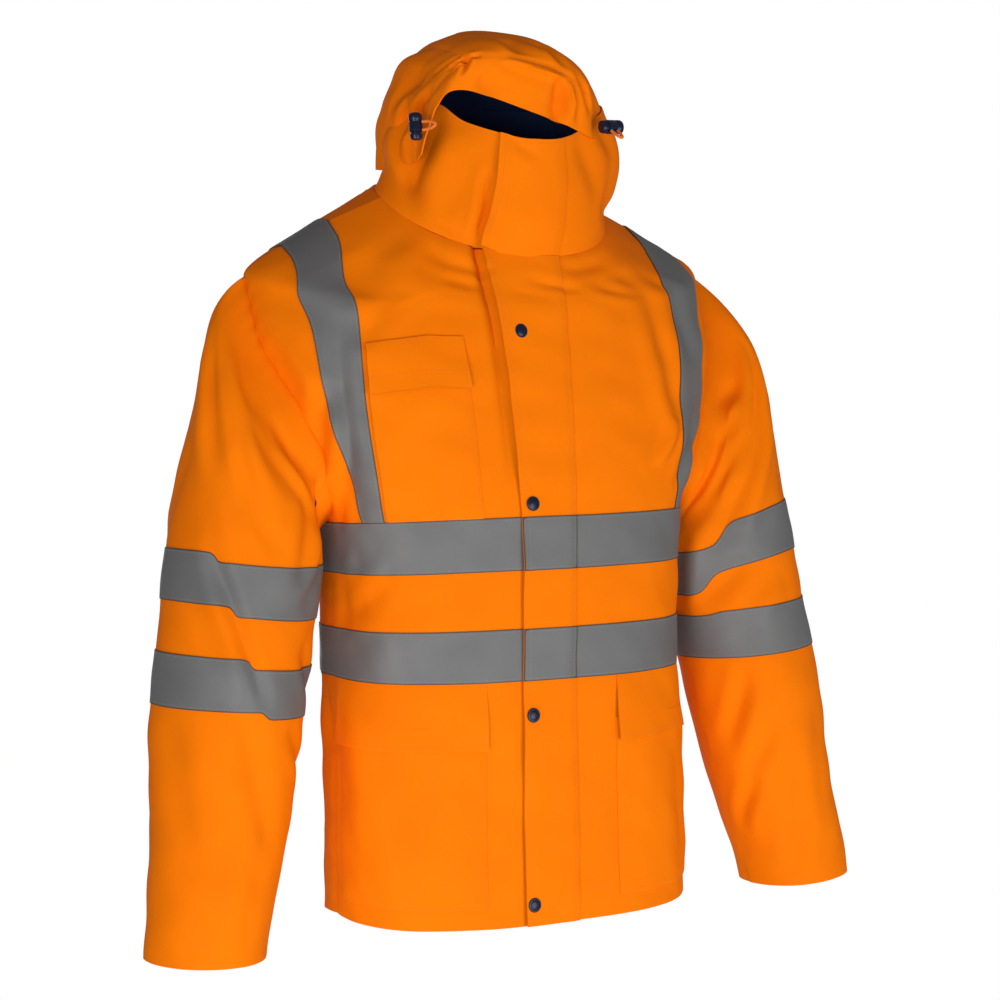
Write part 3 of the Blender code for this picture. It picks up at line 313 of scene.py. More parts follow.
SLEEVE_CREASES = {                  # turn 0 is outside, 90 in front; place is the height
    "right": (
        (61, -100, 97, -148, 2, 6, 2.2),
        (88, -110, 112, -180, 3, 5, -2.4, 1),
        (20, -150, 46, -285, 6, 10, -3),
        (2, -120, 24, -260, 8, 14, 2.4),
        (58, -235, 92, -336, 6, 8, -3.2),
        (44, -250, 72, -318, 3, 8, -2.6),
        (72, -215, 104, -300, 6, 11, 2.8),
        (120, -205, 158, -274, 4, 8, -5, 1),
        (133, -200, 170, -292, -4, 8, -4.4, 1),
        (108, -230, 150, -300, 4, 8, 3.6),
        (134, -288, 112, -370, 4, 10, -4),
        (150, -330, 118, -392, -3, 8, -3),
        (36, -318, 96, -486, -2, 6, -3.6, 1),
        (28, -330, 86, -490, -2, 10, 2.6),
        (78, -470, 112, -610, 4, 12, -3.4),
        (20, -480, 52, -640, 6, 16, -2),
        (100, -560, 84, -700, 4, 14, 2),
        (128, -420, 168, -486, 3, 10, -3.6),
        (120, -500, 172, -560, 2, 9, -3),
        (-36, -150, -70, -290, -6, 12, -4),
        (-20, -220, -60, -360, -6, 13, 2.8),
        (-80, -180, -128, -290, -4, 9, -4.6),
        (-110, -300, -60, -380, 4, 10, -3.6),
        (-150, -380, -90, -440, 5, 9, -3.6),
        (-40, -400, -100, -470, -3, 9, -3),
        (-70, -500, -50, -660, 6, 16, -2.6),
    ),
    "left": (
        (96, -166, 138, -202, 2, 7, -5.2, 1),
        (100, -186, 140, -226, 2, 9, 4),
        (52, -120, 128, -284, 10, 10, -4.4),
        (66, -190, 132, -350, 6, 10, -5.6, 1),
        (54, -196, 108, -330, 0, 12, 3.6),
        (116, -220, 152, -285, 2, 9, 4.4),
        (128, -240, 170, -300, 3, 8, -4),
        (104, -352, 150, -404, 3, 10, -4),
        (120, -310, 168, -392, -3, 13, 3.4),
        (150, -330, 178, -420, 2, 9, -5),
        (76, -380, 110, -420, 2, 9, 2.4),
        (124, -470, 158, -560, 3, 9, -4.4),
        (106, -520, 150, -600, 4, 9, -3.6),
        (134, -590, 168, -650, -2, 8, -3.6),
        (92, -570, 122, -690, 4, 12, -2.8),
        (60, -500, 84, -640, 6, 16, -2),
        (30, -160, 48, -300, 6, 14, -2.6),
        (-30, -140, -66, -280, -6, 12, -4),
        (-24, -230, -62, -370, -6, 13, 2.8),
        (-84, -190, -126, -300, -4, 9, -4.6),
        (-112, -310, -64, -370, 4, 10, -3.6),
        (-146, -370, -92, -450, 5, 9, -3.6),
        (-44, -410, -104, -460, -3, 9, -3),
        (-72, -510, -54, -670, 6, 16, -2.6),
    ),
}
COLLAR_DEGREE = 0.0019
COLLAR_HEIGHT = 0.115
COLLAR_CREASES = (                  # places here are shares of the way up
    (-58, 0.98, -76, 0.20, 3, 9, -5),
    (-46, 0.92, -62, 0.10, 4, 12, 3),
    (-84, 0.60, -60, 0.06, 3, 10, -2.8),
    (-52, 0.10, -30, 0.02, 0, 4, -2.8, 1),
    (-100, 0.80, -84, 0.30, 2, 10, 2.8),
    (22, 0.96, 44, 0.40, 3, 9, -2.2),
    (40, 0.98, 60, 0.66, 2, 7, -3),
    (46, 0.40, 70, 0.06, 2, 10, -3.4),
    (62, 0.90, 74, 0.20, 2, 12, 4),
    (-32, 0.66, -29, -0.20, 0, 5, -6),
    (-22, 0.98, -4, 0.84, 1, 6, -1.4),
    (120, 0.85, 150, 0.30, 4, 10, -3),
    (-124, 0.80, -150, 0.30, -4, 10, -3),
    (170, 0.70, -170, 0.40, 3, 12, 2),
)
HOOD_DEGREE = 0.0024
HOOD_LENGTH = 0.34
HOOD_GAIN = 1.4                     # the hood's thinner cloth creases more deeply
HOOD_CREASES = (                    # places here are shares of the way from face to nape
    (-36, 0.20, -33, 0.06, 1, 6, -3.4),
    (-50, 0.17, -24, 0.145, -2, 4, -3.4, 1),
    (-56, 0.26, -38, 0.20, 2, 5, -3, 1),
    (10, 0.11, 4, 0.00, 1, 7, -5),
    (14, 0.12, 12, 0.01, 0, 6, 3.6),
    (-12, 0.13, 12, 0.12, 1, 5, 3),
    (-18, 0.06, -6, 0.02, 1, 8, -2.2),
    (20, 0.20, 30, 0.07, 1, 6, -4),
    (2, 0.34, 12, 0.17, 2, 7, -2.6),
    (-8, 0.30, -4, 0.17, 2, 8, -2.2),
    (-66, 0.16, -84, 0.30, 4, 8, -4.6),
    (-72, 0.34, -86, 0.46, 2, 8, -4),
    (-84, 0.12, -88, 0.40, 1, 10, 6),
    (-60, 0.30, -70, 0.56, 4, 12, -4),
    (-52, 0.40, -48, 0.66, 3, 14, 3),
    (70, 0.20, 84, 0.42, -4, 10, -4.4),
    (56, 0.34, 66, 0.58, -4, 12, -3.6),
    (-20, 0.52, -26, 0.80, 3, 14, -4),
    (18, 0.50, 24, 0.84, -4, 14, -3.6),
    (-60, 0.72, -74, 0.94, 3, 12, -4.4),
    (58, 0.70, 72, 0.92, -3, 12, -4.4),
    (-30, 0.86, 30, 0.88, 4, 12, -3.4),
)
# ---- broad bulges of the collar and hood, in degrees, shares and metres
BULGE_COLUMNS = ("turn", "place", "turn_reach", "place_reach", "outward", "upward")
COLLAR_BULGES = (
    (72, 0.62, 32, 0.30, 0.009, 0.000),     # the wearer's left stands out over the hood
    (60, 1.02, 30, 0.36, 0.010, 0.007),     # its corner rises beside the face
    (-66, 1.02, 13, 0.34, 0.003, 0.010),
    (-122, 0.70, 36, 0.34, 0.011, 0.000),   # the wearer's right fills the hood's hem
)
HOOD_BULGES = (
    (-90, 0.35, 15, 0.34, -0.011, 0.000),   # the right hem is tucked in to the collar
    (-64, 0.36, 26, 0.40, -0.004, 0.000),
    (70, 0.00, 34, 0.13, -0.024, 0.000),    # the left end of the brim goes inside the collar
)
COLLAR_SWELL = (78, 26, 0.55, 0.3, 0.006)       # turn and its reach, place and its reach, height
WAVES = (                           # length, direction in degrees, start and height
    (0.083, 24, 0.3, 0.00045),
    (0.061, 118, 1.9, 0.00036),
    (0.047, 71, 4.1, 0.00026),
    (0.109, 158, 2.6, 0.00050),
    (0.031, 40, 5.2, 0.00014),
)

# ---- folds across the sleeves, beyond which the cloth and its tape sit higher or lower ---
JOG_COLUMNS = ("turn_1", "height_1", "turn_2", "height_2", "before", "beyond", "width", "fade")
JOGS = {
    "right": (40.0, -0.325, 96.0, -0.482, 0.000, -0.0085, 2.4, 90.0),
    "left": (112.0, -0.300, 141.0, -0.375, 0.015, -0.008, 8.0, 105.0),
}
JOG_SOFTNESS = 0.022                # height over which a jog starts and ends
JOG_MARGIN = 0.020                  # how far past its two heights it is still whole

ORANGE = (0.95, 0.200, 0.0008)
ORANGE_DEEP = (0.86, 0.166, 0.0006)
GREY = (0.150, 0.150, 0.149)
GREY_DEEP = (0.118, 0.118, 0.117)
NAVY = (0.016, 0.034, 0.110)
NAVY_DEEP = (0.010, 0.022, 0.075)
NAVY_PLASTIC = (0.002, 0.006, 0.026)


# ---- numbers read from the tables --------------------------------
def column(table, names, name):
    place = names.index(name)
    return np.array([row[place] for row in table], dtype=float)


def smooth(stops, values, at):
    """Monotone cubic through the values, so that a table never overshoots."""
    at = np.clip(np.asarray(at, dtype=float), stops[0], stops[-1])
    step = np.diff(stops)
    slope = np.diff(values) / step
    tangent = np.concatenate((slope[:1], np.zeros(len(slope) - 1), slope[-1:]))
    for place in range(1, len(slope)):
        before, after = slope[place - 1], slope[place]
        if before * after > 0:
            near = 2 * step[place] + step[place - 1]
            far = step[place] + 2 * step[place - 1]
            tangent[place] = (near + far) / (near / before + far / after)
    span = np.clip(np.searchsorted(stops, at, side="right") - 1, 0, len(step) - 1)
    part = (at - stops[span]) / step[span]
    rest = 1 - part
    return (values[span] * (1 + 2 * part) * rest ** 2
            + tangent[span] * step[span] * part * rest ** 2
            + values[span + 1] * part ** 2 * (3 - 2 * part)
            - tangent[span + 1] * step[span] * part ** 2 * rest)


def reader(table, names, key):
    """A function that reads any column of a table at given values of its key column."""
    stops = column(table, names, key)
    return lambda name, at: smooth(stops, column(table, names, name), at)


torso_at = reader(TORSO, TORSO_COLUMNS, "level")
armhole_at = reader(ARMHOLE, ARMHOLE_COLUMNS, "level")
arm_at = reader(ARM, ARM_COLUMNS, "z")
collar_at = reader(COLLAR, COLLAR_COLUMNS, "up")
hood_at = reader(HOOD, HOOD_COLUMNS, "back")


def points(x, y, z):
    return np.stack(np.broadcast_arrays(x, y, z), axis=-1)


def unit(vectors):
    return vectors / np.maximum(np.linalg.norm(vectors, axis=-1, keepdims=True), 1e-12)


def normals(surface, first, second, step_first, step_second):
    """Unit normals of a surface, by central differences."""
    along_first = surface(first + step_first, second) - surface(first - step_first, second)
    along_second = surface(first, second + step_second) - surface(first, second - step_second)
    return unit(np.cross(along_first, along_second))


def refined(stops, step):
    """The stops, with evenly spaced values between them no further apart than step."""
    fine = [stops[0]]
    for start, end in zip(stops, stops[1:]):
        count = max(1, math.ceil(abs(end - start) / step - 1e-6))
        fine.extend(start + (end - start) * place / count for place in range(1, count + 1))
    return np.array(fine)


# ---- creases -----------------------------------------------------
def waviness(across, along):
    """The low unevenness of worn cloth, at a place in metres."""
    height = np.zeros(np.broadcast(across, along).shape)
    for length, direction, start, size in WAVES:
        run = across * math.cos(math.radians(direction)) + along * math.sin(math.radians(direction))
        height = height + size * np.sin(math.tau * run / length + start)
    return height


def turned(turn, start):
    """Degrees from a start to a turn, the short way round."""
    return (turn - start + 180) % 360 - 180


def crease_height(creases, turn, place, turn_scale, place_scale):
    """Height of all creases at a place; the scales turn its units into metres."""
    height = np.zeros(np.broadcast(turn, place).shape)
    for row in creases:
        crease = dict(zip(CREASE_COLUMNS, row))
        run_x = turned(crease["turn_2"], crease["turn_1"]) * turn_scale
        run_y = (crease["place_2"] - crease["place_1"]) * place_scale
        length = math.hypot(run_x, run_y)
        off_x = turned(turn, crease["turn_1"]) * turn_scale
        off_y = (place - crease["place_1"]) * place_scale
        part = (off_x * run_x + off_y * run_y) / length ** 2
        inside = np.clip(4 * part * (1 - part), 0, 1)
        aside = (off_x * run_y - off_y * run_x) / length - crease["bow"] * MM * inside
        reach = np.abs(aside) / (crease["half_width"] * MM)
        if crease.get("pinch"):
            profile = np.exp(-1.5 * (np.sqrt(reach ** 2 + 0.36) - 0.6))
        else:
            profile = np.exp(-reach ** 2)
        shoulders = 0.25 * np.exp(-((reach - 2.0) / 0.8) ** 2)
        height = height + crease["height"] * MM * inside ** 0.8 * (profile - shoulders)
    return height * CREASE_GAIN


def bulge(rows, turn, place):
    """How far broad bulges push the cloth outwards and upwards."""
    outward = np.zeros(np.broadcast(turn, place).shape)
    upward = np.zeros(outward.shape)
    for row in rows:
        rise = dict(zip(BULGE_COLUMNS, row))
        off = np.abs(turned(turn, rise["turn"])) / rise["turn_reach"]
        near = np.exp(-off ** 3 - ((place - rise["place"]) / rise["place_reach"]) ** 2)
        outward = outward + rise["outward"] * near
        upward = upward + rise["upward"] * near
    return outward, upward


def fold_height(folds, across, along, degree):
    """Height of the CAD's own large folds."""
    height = np.zeros(np.broadcast(across, along).shape)
    for row in folds:
        fold = dict(zip(FOLD_COLUMNS, row))
        up = along - fold["along"]
        aside = (across - fold["across"] - fold["slope"] * up) * degree
        run = np.clip(1 - (up / fold["half_length"]) ** 2, 0, 1)
        height = height + fold["depth"] * run ** 2 * np.exp(-(aside / fold["half_width"]) ** 2)
    return height


# ---- the four surfaces -------------------------------------------
def bare_torso(angle, level):
    """Point at an angle from centre front (+ to the wearer's left) on the ring of a level."""
    turn = np.radians(angle)
    power = 2 / torso_at("square", level)
    sine, cosine = np.sin(turn), np.cos(turn)
    across = np.sign(sine) * np.abs(sine) ** power
    forth = np.abs(cosine) ** power
    front = cosine >= 0
    side_y = torso_at("side_y", level)
    end_y = np.where(front, torso_at("front_y", level), torso_at("back_y", level))
    rise = np.where(front, torso_at("front_rise", level), torso_at("back_rise", level))
    x = torso_at("half_width", level) * across
    y = side_y + (end_y - side_y) * forth
    z = level + rise * forth + torso_at("left_rise", level) * (1 + sine) / 2
    return points(x, y, z)


def torso(angle, level):
    height = (fold_height(TORSO_FOLDS, angle, level, TORSO_DEGREE)
              + crease_height(TORSO_CREASES, angle, level / MM, TORSO_DEGREE, MM)
              + waviness(angle * TORSO_DEGREE, level))
    outward = normals(bare_torso, angle, level, 0.4, 0.0015)
    return bare_torso(angle, level) + outward * height[..., None]


def torso_normals(angle, level):
    return normals(torso, angle, level, 0.5, 0.0015)


def armhole_angle(level, back):
    bite = np.clip(armhole_at("back_bite" if back else "front_bite", level), 0, 1)
    turn = np.degrees(np.arccos(bite ** (torso_at("square", level) / 2)))
    return 180 - turn if back else turn


def armhole_places(share, back):
    """Angle and level on the armhole, a share of the way from the armpit to the tip."""
    level = ARMPIT + (SHOULDER_TIP - ARMPIT) * share
    return armhole_angle(level, back), level


def arm_ring(turn, z, rise_outwards, side):
    """Ring of the sleeve: turn 0 is outside, 90 in front, 180 inside."""
    turn = np.radians(turn)
    out = np.cos(turn) * arm_at("radius_x", z)
    fore = np.sin(turn) * arm_at("radius_y", z)
    return points(side * (arm_at("x", z) + out), arm_at("y", z) - fore, z + rise_outwards * out)


def jog(turn, z, side):
    """How far the fold across a sleeve carries the cloth on both sides of it up or down."""
    fold = dict(zip(JOG_COLUMNS, JOGS["left" if side > 0 else "right"]))
    line = np.interp(-z, (-fold["height_1"], -fold["height_2"]), (fold["turn_1"], fold["turn_2"]))
    beyond = 0.5 + 0.5 * np.tanh((turn - line) / fold["width"])
    fading = np.exp(-((turn - line) / fold["fade"]) ** 4)
    into = 0.5 - 0.5 * np.tanh((z - fold["height_1"] - JOG_MARGIN) / JOG_SOFTNESS)
    out = 0.5 + 0.5 * np.tanh((z - fold["height_2"] + JOG_MARGIN) / JOG_SOFTNESS)
    return (fold["before"] * (1 - beyond) + fold["beyond"] * beyond) * fading * into * out


def armhole_spot(around):
    """Angle and level on the armhole; 0..1 runs up its front and 1..2 down its back."""
    share = np.clip(np.where(around > 1, 2 - around, around), 0, 1)
    front, level = armhole_places(share, False)
    return np.where(around > 1, armhole_places(share, True)[0], front), level


def bare_sleeve(around, down, side):
    """down 0..1 is the cap, and each further 1 is the next row of the table."""
    rows = SLEEVE_ROWS["left" if side > 0 else "right"]
    angle, level = armhole_spot(around)
    start = torso(side * angle, level)
    turn = sleeve_turn(around)
    place = np.maximum(down - 1, 0)
    stops = np.arange(len(rows), dtype=float)
    z = smooth(stops, column(rows, SLEEVE_COLUMNS, "z"), place)
    rise = smooth(stops, column(rows, SLEEVE_COLUMNS, "rise_outwards"), place)
    z = z + jog(turn, z, side)
    ring = arm_ring(turn, z, rise, side)
    reach = np.linalg.norm(ring - start, axis=-1)[..., None]
    leave = points(side * CAP_LEAVE[0], CAP_LEAVE[1] * np.sin(np.radians(turn)), CAP_LEAVE[2]) * reach
    arrive = np.array(CAP_ARRIVE) * (side, 1, 1) * reach
    part = np.clip(down, 0, 1)[..., None]
    rest = 1 - part
    swell = (4 * part * rest) ** 2
    outside = (1 + np.cos(np.radians(turn)))[..., None] / 2
    lean = np.array(CAP_LEAN["left" if side > 0 else "right"]) * (side, 1, 1) * outside
    cap = (start * (1 + 2 * part) * rest ** 2 + leave * part * rest ** 2
           + ring * part ** 2 * (3 - 2 * part) - arrive * part ** 2 * rest + lean * swell)
    return np.where(down[..., None] < 1, cap, ring)


def sleeve_turn(around):
    share = np.clip(np.where(around > 1, 2 - around, around), 0, 1)
    return 180 * np.sqrt(1 - share) * np.where(around > 1, -1, 1)


def bare_collar(angle, up):
    turn = np.radians(angle)
    forth = np.abs(np.cos(turn))
    front = np.cos(turn) >= 0
    end_y = np.where(front, collar_at("front_y", up), collar_at("back_y", up))
    end_z = np.where(front, collar_at("front_z", up), collar_at("back_z", up))
    x = collar_at("x", up) + collar_at("half_width", up) * np.sin(turn)
    y = COLLAR_MIDDLE_Y + (end_y - COLLAR_MIDDLE_Y) * forth
    dip = forth ** collar_at("dip", up)
    z = collar_at("side_z", up) + (end_z - collar_at("side_z", up)) * dip
    z = z + collar_at("left_rise", up) * (1 + np.sin(turn)) / 2
    outward, upward = bulge(COLLAR_BULGES, angle, up)
    return points(x + outward * np.sin(turn), y - outward * np.cos(turn), z + upward)


def bare_hood(back, turn):
    """back 0 is the face edge and 1 the nape; turn -90 is the wearer's right end."""
    angle = np.radians(turn)
    power = 2 / np.where(angle < 0, hood_at("square_right", back), hood_at("square_left", back))
    across = np.sign(np.sin(angle)) * np.abs(np.sin(angle)) ** power
    forth = np.abs(np.cos(angle)) ** power
    x = hood_at("half_span", back) * across + hood_at("x", back) * (1 - forth)
    end_y = hood_at("end_y", back) + np.where(angle > 0, hood_at("left_back", back), 0.0)
    y = end_y + (hood_at("top_y", back) - end_y) * forth ** 1.5
    z = hood_at("end_z", back) + (hood_at("top_z", back) - hood_at("end_z", back)) * forth
    outward, upward = bulge(HOOD_BULGES, turn, back)
    z = z + hood_at("lean", back) * x * forth ** 2
    return points(x + outward * np.sin(angle), y, z + upward)


def bare_hood_normals(back, turn):
    inner = np.clip(back, 0.012, 0.988)
    short = np.clip(turn, -89.0, 89.0)
    return -normals(bare_hood, inner, short, 0.01, 0.6)


# ---- cloth: a grid of surface points -----------------------------
class Cloth:
    """Points on a surface, their outward normals, and how far each is from the edges."""

    def __init__(self, spots, outward, closed=False):
        self.spots = spots
        self.outward = outward
        self.closed = closed
        steps = np.linalg.norm(np.diff(spots, axis=1), axis=-1)
        self.left = np.concatenate((np.zeros((len(spots), 1)), np.cumsum(steps, axis=1)), axis=1)
        rises = np.linalg.norm(np.diff(spots, axis=0), axis=-1)
        flat = np.zeros((1, spots.shape[1]))
        self.low = np.concatenate((flat, np.cumsum(rises, axis=0)))
        self.right = self.left[:, -1:] - self.left
        self.high = self.low[-1:] - self.low

    def block(self, rows, columns):
        return Cloth(self.spots[rows, columns], self.outward[rows, columns])

    def raised(self, height):
        height = np.broadcast_to(height, self.spots.shape[:2])
        return Cloth(self.spots + self.outward * height[..., None], self.outward, self.closed)

    def from_edge(self, edges):
        """Distance to the nearest of the named edges."""
        return np.minimum.reduce([getattr(self, edge) for edge in edges])

    def seamed(self, edges, depth=SEAM_SINK):
        """The cloth sunk a little along its sewn edges."""
        return self.raised(-depth * np.exp(-(self.from_edge(edges) / SEAM_REACH) ** 2))

    def puckered(self, edges, height=0.5 * MM, reach=11 * MM):
        """Short uneven waves square to the sewn edges."""
        height_here = np.zeros(self.spots.shape[:2])
        for edge in edges:
            off = getattr(self, edge)
            along = self.low if edge in ("left", "right") else self.left
            ripple = np.sin(math.tau * along / PUCKER_WAVE + 1.3 * np.sin(along * 37))
            swell = 0.6 + 0.4 * np.sin(along * 21 + 0.7)
            height_here = height_here + height * ripple * swell * np.exp(-off / reach)
        return self.raised(height_here)

    def lipped(self, edge, inward):
        """One more row on the low or high edge, turned in under the neighbouring cloth."""
        last = slice(-1, None) if edge == "high" else slice(0, 1)
        spots = [self.spots, self.spots[last] + inward * LIP]
        outward = [self.outward, self.outward[last]]
        if edge == "low":
            spots.reverse()
            outward.reverse()
        return Cloth(np.concatenate(spots), np.concatenate(outward), self.closed)

    def line(self, edge, inset):
        """Points and normals of a line that runs at one distance inside an edge."""
        off = getattr(self, edge)
        count = len(off) if edge in ("left", "right") else len(off[0])
        spots, outward = [], []
        for place in range(count):
            across = (place, slice(None)) if edge in ("left", "right") else (slice(None), place)
            order = np.argsort(off[across])
            for store, grid in ((spots, self.spots), (outward, self.outward)):
                store.append([np.interp(inset, off[across][order], grid[across][order, axis])
                              for axis in range(3)])
        return np.array(spots), np.array(outward)


def grid_normals(spots, closed):
    """Normals of a grid from its own points."""
    if closed:
        across = np.roll(spots, -1, axis=1) - np.roll(spots, 1, axis=1)
    else:
        across = np.gradient(spots, axis=1)
    along = np.gradient(spots, axis=0)
    return unit(np.cross(across, along))


def pressed(spots, height, closed):
    """A grid pushed along its own normals by a height at each point."""
    moved = spots + grid_normals(spots, closed) * height[..., None]
    return Cloth(moved, grid_normals(moved, closed), closed)


# ---- panel grids -------------------------------------------------
LOWER_ROWS = refined(LOWER_STOPS, STEP)
UPPER_ROWS = refined(UPPER_STOPS, STEP / UPPER_HEIGHT)[1:]
ARMPIT_ROW = len(LOWER_ROWS) - 1


def row_of(level):
    return int(np.argmin(np.abs(LOWER_ROWS - level)))


def upper_row_of(share):
    return len(LOWER_ROWS) + int(np.argmin(np.abs(UPPER_ROWS - share)))


def ridge_level(x):
    """Level at which the shoulder seam is x away from the centre."""
    level = np.linspace(SHOULDER_TIP, NECK, 200)
    return np.interp(-x, -torso_at("half_width", level), level)


def line_places(line, back):
    """Angles and levels of one panel line, from the hem to the neck or shoulder seam."""
    share = line["share"]
    low_angle = np.degrees(np.arcsin(share ** (torso_at("square", LOWER_ROWS) / 2)))
    if line["name"] == "side":
        high_angle, high = armhole_places(UPPER_ROWS, back)
    else:
        top = NECK if line["ridge_x"] is None else ridge_level(line["ridge_x"])
        neck_x = float(torso_at("half_width", NECK)) * math.sin(math.radians(line["neck_angle"] or 0))
        end_x = line["ridge_x"] or neck_x
        start_x = share * float(torso_at("half_width", ARMPIT))
        high = ARMPIT + (top - ARMPIT) * UPPER_ROWS
        x = (start_x + (end_x - start_x) * UPPER_ROWS
             + line["bow"] * 4 * UPPER_ROWS * (1 - UPPER_ROWS)
             + line["high_bow"] * np.exp(-((UPPER_ROWS - HIGH_BOW_AT) / HIGH_BOW_REACH) ** 2)
             * (1 - UPPER_ROWS ** 20))
        part = np.clip(x / torso_at("half_width", high), 0, 1)
        high_angle = np.degrees(np.arcsin(part ** (torso_at("square", high) / 2)))
        high_angle = 180 - high_angle if back else high_angle
    low_angle = 180 - low_angle if back else low_angle
    return np.concatenate((low_angle, high_angle)), np.concatenate((LOWER_ROWS, high))


def half_panel(lines, back=False):
    """Angles and levels [row, column] of a half panel, and the column of each line."""
    angles, levels, places = [], [], {}
    previous = None
    for row in lines:
        line = dict(zip(LINE_COLUMNS, row))
        current = line_places(line, back)
        for cell in range(1, line["cells"] + 1):
            part = cell / line["cells"]
            angles.append(previous[0] + (current[0] - previous[0]) * part)
            levels.append(previous[1] + (current[1] - previous[1]) * part)
        if previous is None:
            angles.append(current[0])
            levels.append(current[1])
        places[line["name"]] = len(angles) - 1
        previous = current
    return np.stack(angles, axis=1), np.stack(levels, axis=1), places


def torso_cloth(angles, levels):
    return Cloth(torso(angles, levels), torso_normals(angles, levels))


def front_cloths():
    """The two half fronts, columns running from the wearer's right to the left."""
    made = {}
    for name, lines, side in (("right", RIGHT_LINES, -1), ("left", LEFT_LINES, 1)):
        angles, levels, places = half_panel(lines)
        if side < 0:
            angles, levels = angles[:, ::-1], levels[:, ::-1]
            places = {line: angles.shape[1] - 1 - place for line, place in places.items()}
        made[name] = (torso_cloth(side * angles, levels), places)
    return made


def back_cloth():
    """The whole back in one piece, columns running from the left side to the right side."""
    angles, levels, places = half_panel(BACK_LINES, back=True)
    turn = np.concatenate((angles[:, ::-1], 360 - angles[:, 1:]), axis=1)
    level = np.concatenate((levels[:, ::-1], levels[:, 1:]), axis=1)
    return torso_cloth(turned(turn, 0), level), places, angles.shape[1] - 1


def sleeve_cloth(side):
    """Rows run up from the cuff to the armhole and its lip; the columns go round the arm."""
    turn = np.linspace(0, 1, SLEEVE_TURNS + 1)
    around = np.concatenate((1 - turn[::-1] ** 2, 1 + turn[1:-1] ** 2))
    rows = len(SLEEVE_ROWS["left"]) - 1
    below = 1 + np.arange(1, rows * ROW_CELLS + 1) / ROW_CELLS
    down = np.concatenate((np.linspace(0, 1, CAP_CELLS + 1), below))
    if side < 0:
        around = around[::-1]
    around_grid, down_grid = np.meshgrid(around, down[::-1])
    spots = bare_sleeve(around_grid, down_grid, side)
    turn_grid = sleeve_turn(around_grid)
    creases = SLEEVE_CREASES["left" if side > 0 else "right"]
    height = crease_height(creases, turn_grid, spots[..., 2] / MM, SLEEVE_DEGREE, MM)
    height = height + waviness(turn_grid * SLEEVE_DEGREE, spots[..., 2] + side * 0.2)
    height = height * np.clip(down_grid * 3, 0, 1)
    angle, level = armhole_spot(around)
    inward = -torso_normals(side * angle, level)
    return pressed(spots, height, closed=True).lipped("high", inward)


def sleeve_row(down):
    """Row of the sleeve grid at a row of its table; 0 is the armhole."""
    rows = (len(SLEEVE_ROWS["left"]) - 1) * ROW_CELLS + CAP_CELLS
    return rows - (down * CAP_CELLS if down <= 1 else CAP_CELLS + round((down - 1) * ROW_CELLS))


# ---- meshes ------------------------------------------------------
def shell(name, cloth, thickness, finishes, edges=("left", "right", "low", "high")):
    """A thin closed wall behind a grid, its outer face on the grid.

    finishes are the outer and the inner material. Every point keeps its distance to the
    nearest of the edges, and its UV place in metres."""
    rows, columns = cloth.spots.shape[:2]
    outer = cloth.spots.reshape(-1, 3)
    inner = (cloth.spots - cloth.outward * thickness).reshape(-1, 3)
    numbers = np.arange(rows * columns).reshape(rows, columns)
    after = np.roll(numbers, -1, axis=1) if cloth.closed else numbers[:, 1:]
    before = numbers if cloth.closed else numbers[:, :-1]
    faces = np.stack((before[:-1], after[:-1], after[1:], before[1:]), axis=-1).reshape(-1, 4)
    count = rows * columns
    rims = [np.stack((after[0], before[0]), axis=-1), np.stack((before[-1], after[-1]), axis=-1)]
    if not cloth.closed:
        rims.append(np.stack((numbers[:-1, 0], numbers[1:, 0]), axis=-1))
        rims.append(np.stack((numbers[1:, -1], numbers[:-1, -1]), axis=-1))
    rim = np.concatenate(rims)
    walls = np.stack((rim[:, 0], rim[:, 1], rim[:, 1] + count, rim[:, 0] + count), axis=-1)
    every = np.concatenate((faces, faces[:, ::-1] + count, walls))
    mesh = bpy.data.meshes.new(name)
    mesh.from_pydata(np.concatenate((outer, inner)).tolist(), [], every.tolist())
    for finish in finishes:
        mesh.materials.append(finish)
    if len(finishes) > 1:
        kinds = np.zeros(len(every), dtype=np.int32)
        kinds[len(faces):2 * len(faces)] = 1
        mesh.polygons.foreach_set("material_index", kinds)
    off = np.tile(cloth.from_edge(edges).reshape(-1), 2)
    mesh.attributes.new("edge_distance", "FLOAT", "POINT").data.foreach_set("value", off)
    places = np.tile(np.stack((cloth.left, cloth.low), axis=-1).reshape(-1, 2), (2, 1))
    corners = np.empty(len(mesh.loops), dtype=np.int32)
    mesh.loops.foreach_get("vertex_index", corners)
    mesh.uv_layers.new(name="cloth").data.foreach_set("uv", places[corners].reshape(-1))
    mesh.shade_smooth()
    mesh.set_sharp_from_angle(angle=math.radians(62))
    return put(name, mesh)


def put(name, mesh):
    made = bpy.data.objects.new(name, mesh)
    bpy.context.scene.collection.objects.link(made)
    return made


def stands_for(piece, node):
    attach(piece, "root")
    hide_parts(node)
    return piece


def show_cloth(node, cloth, thickness, finishes,
               edges=("left", "right", "low", "high")):
    """One cloth piece in the place of its CAD node."""
    piece = stands_for(shell(node + "_shown", cloth, thickness, finishes, edges), node)
    return piece


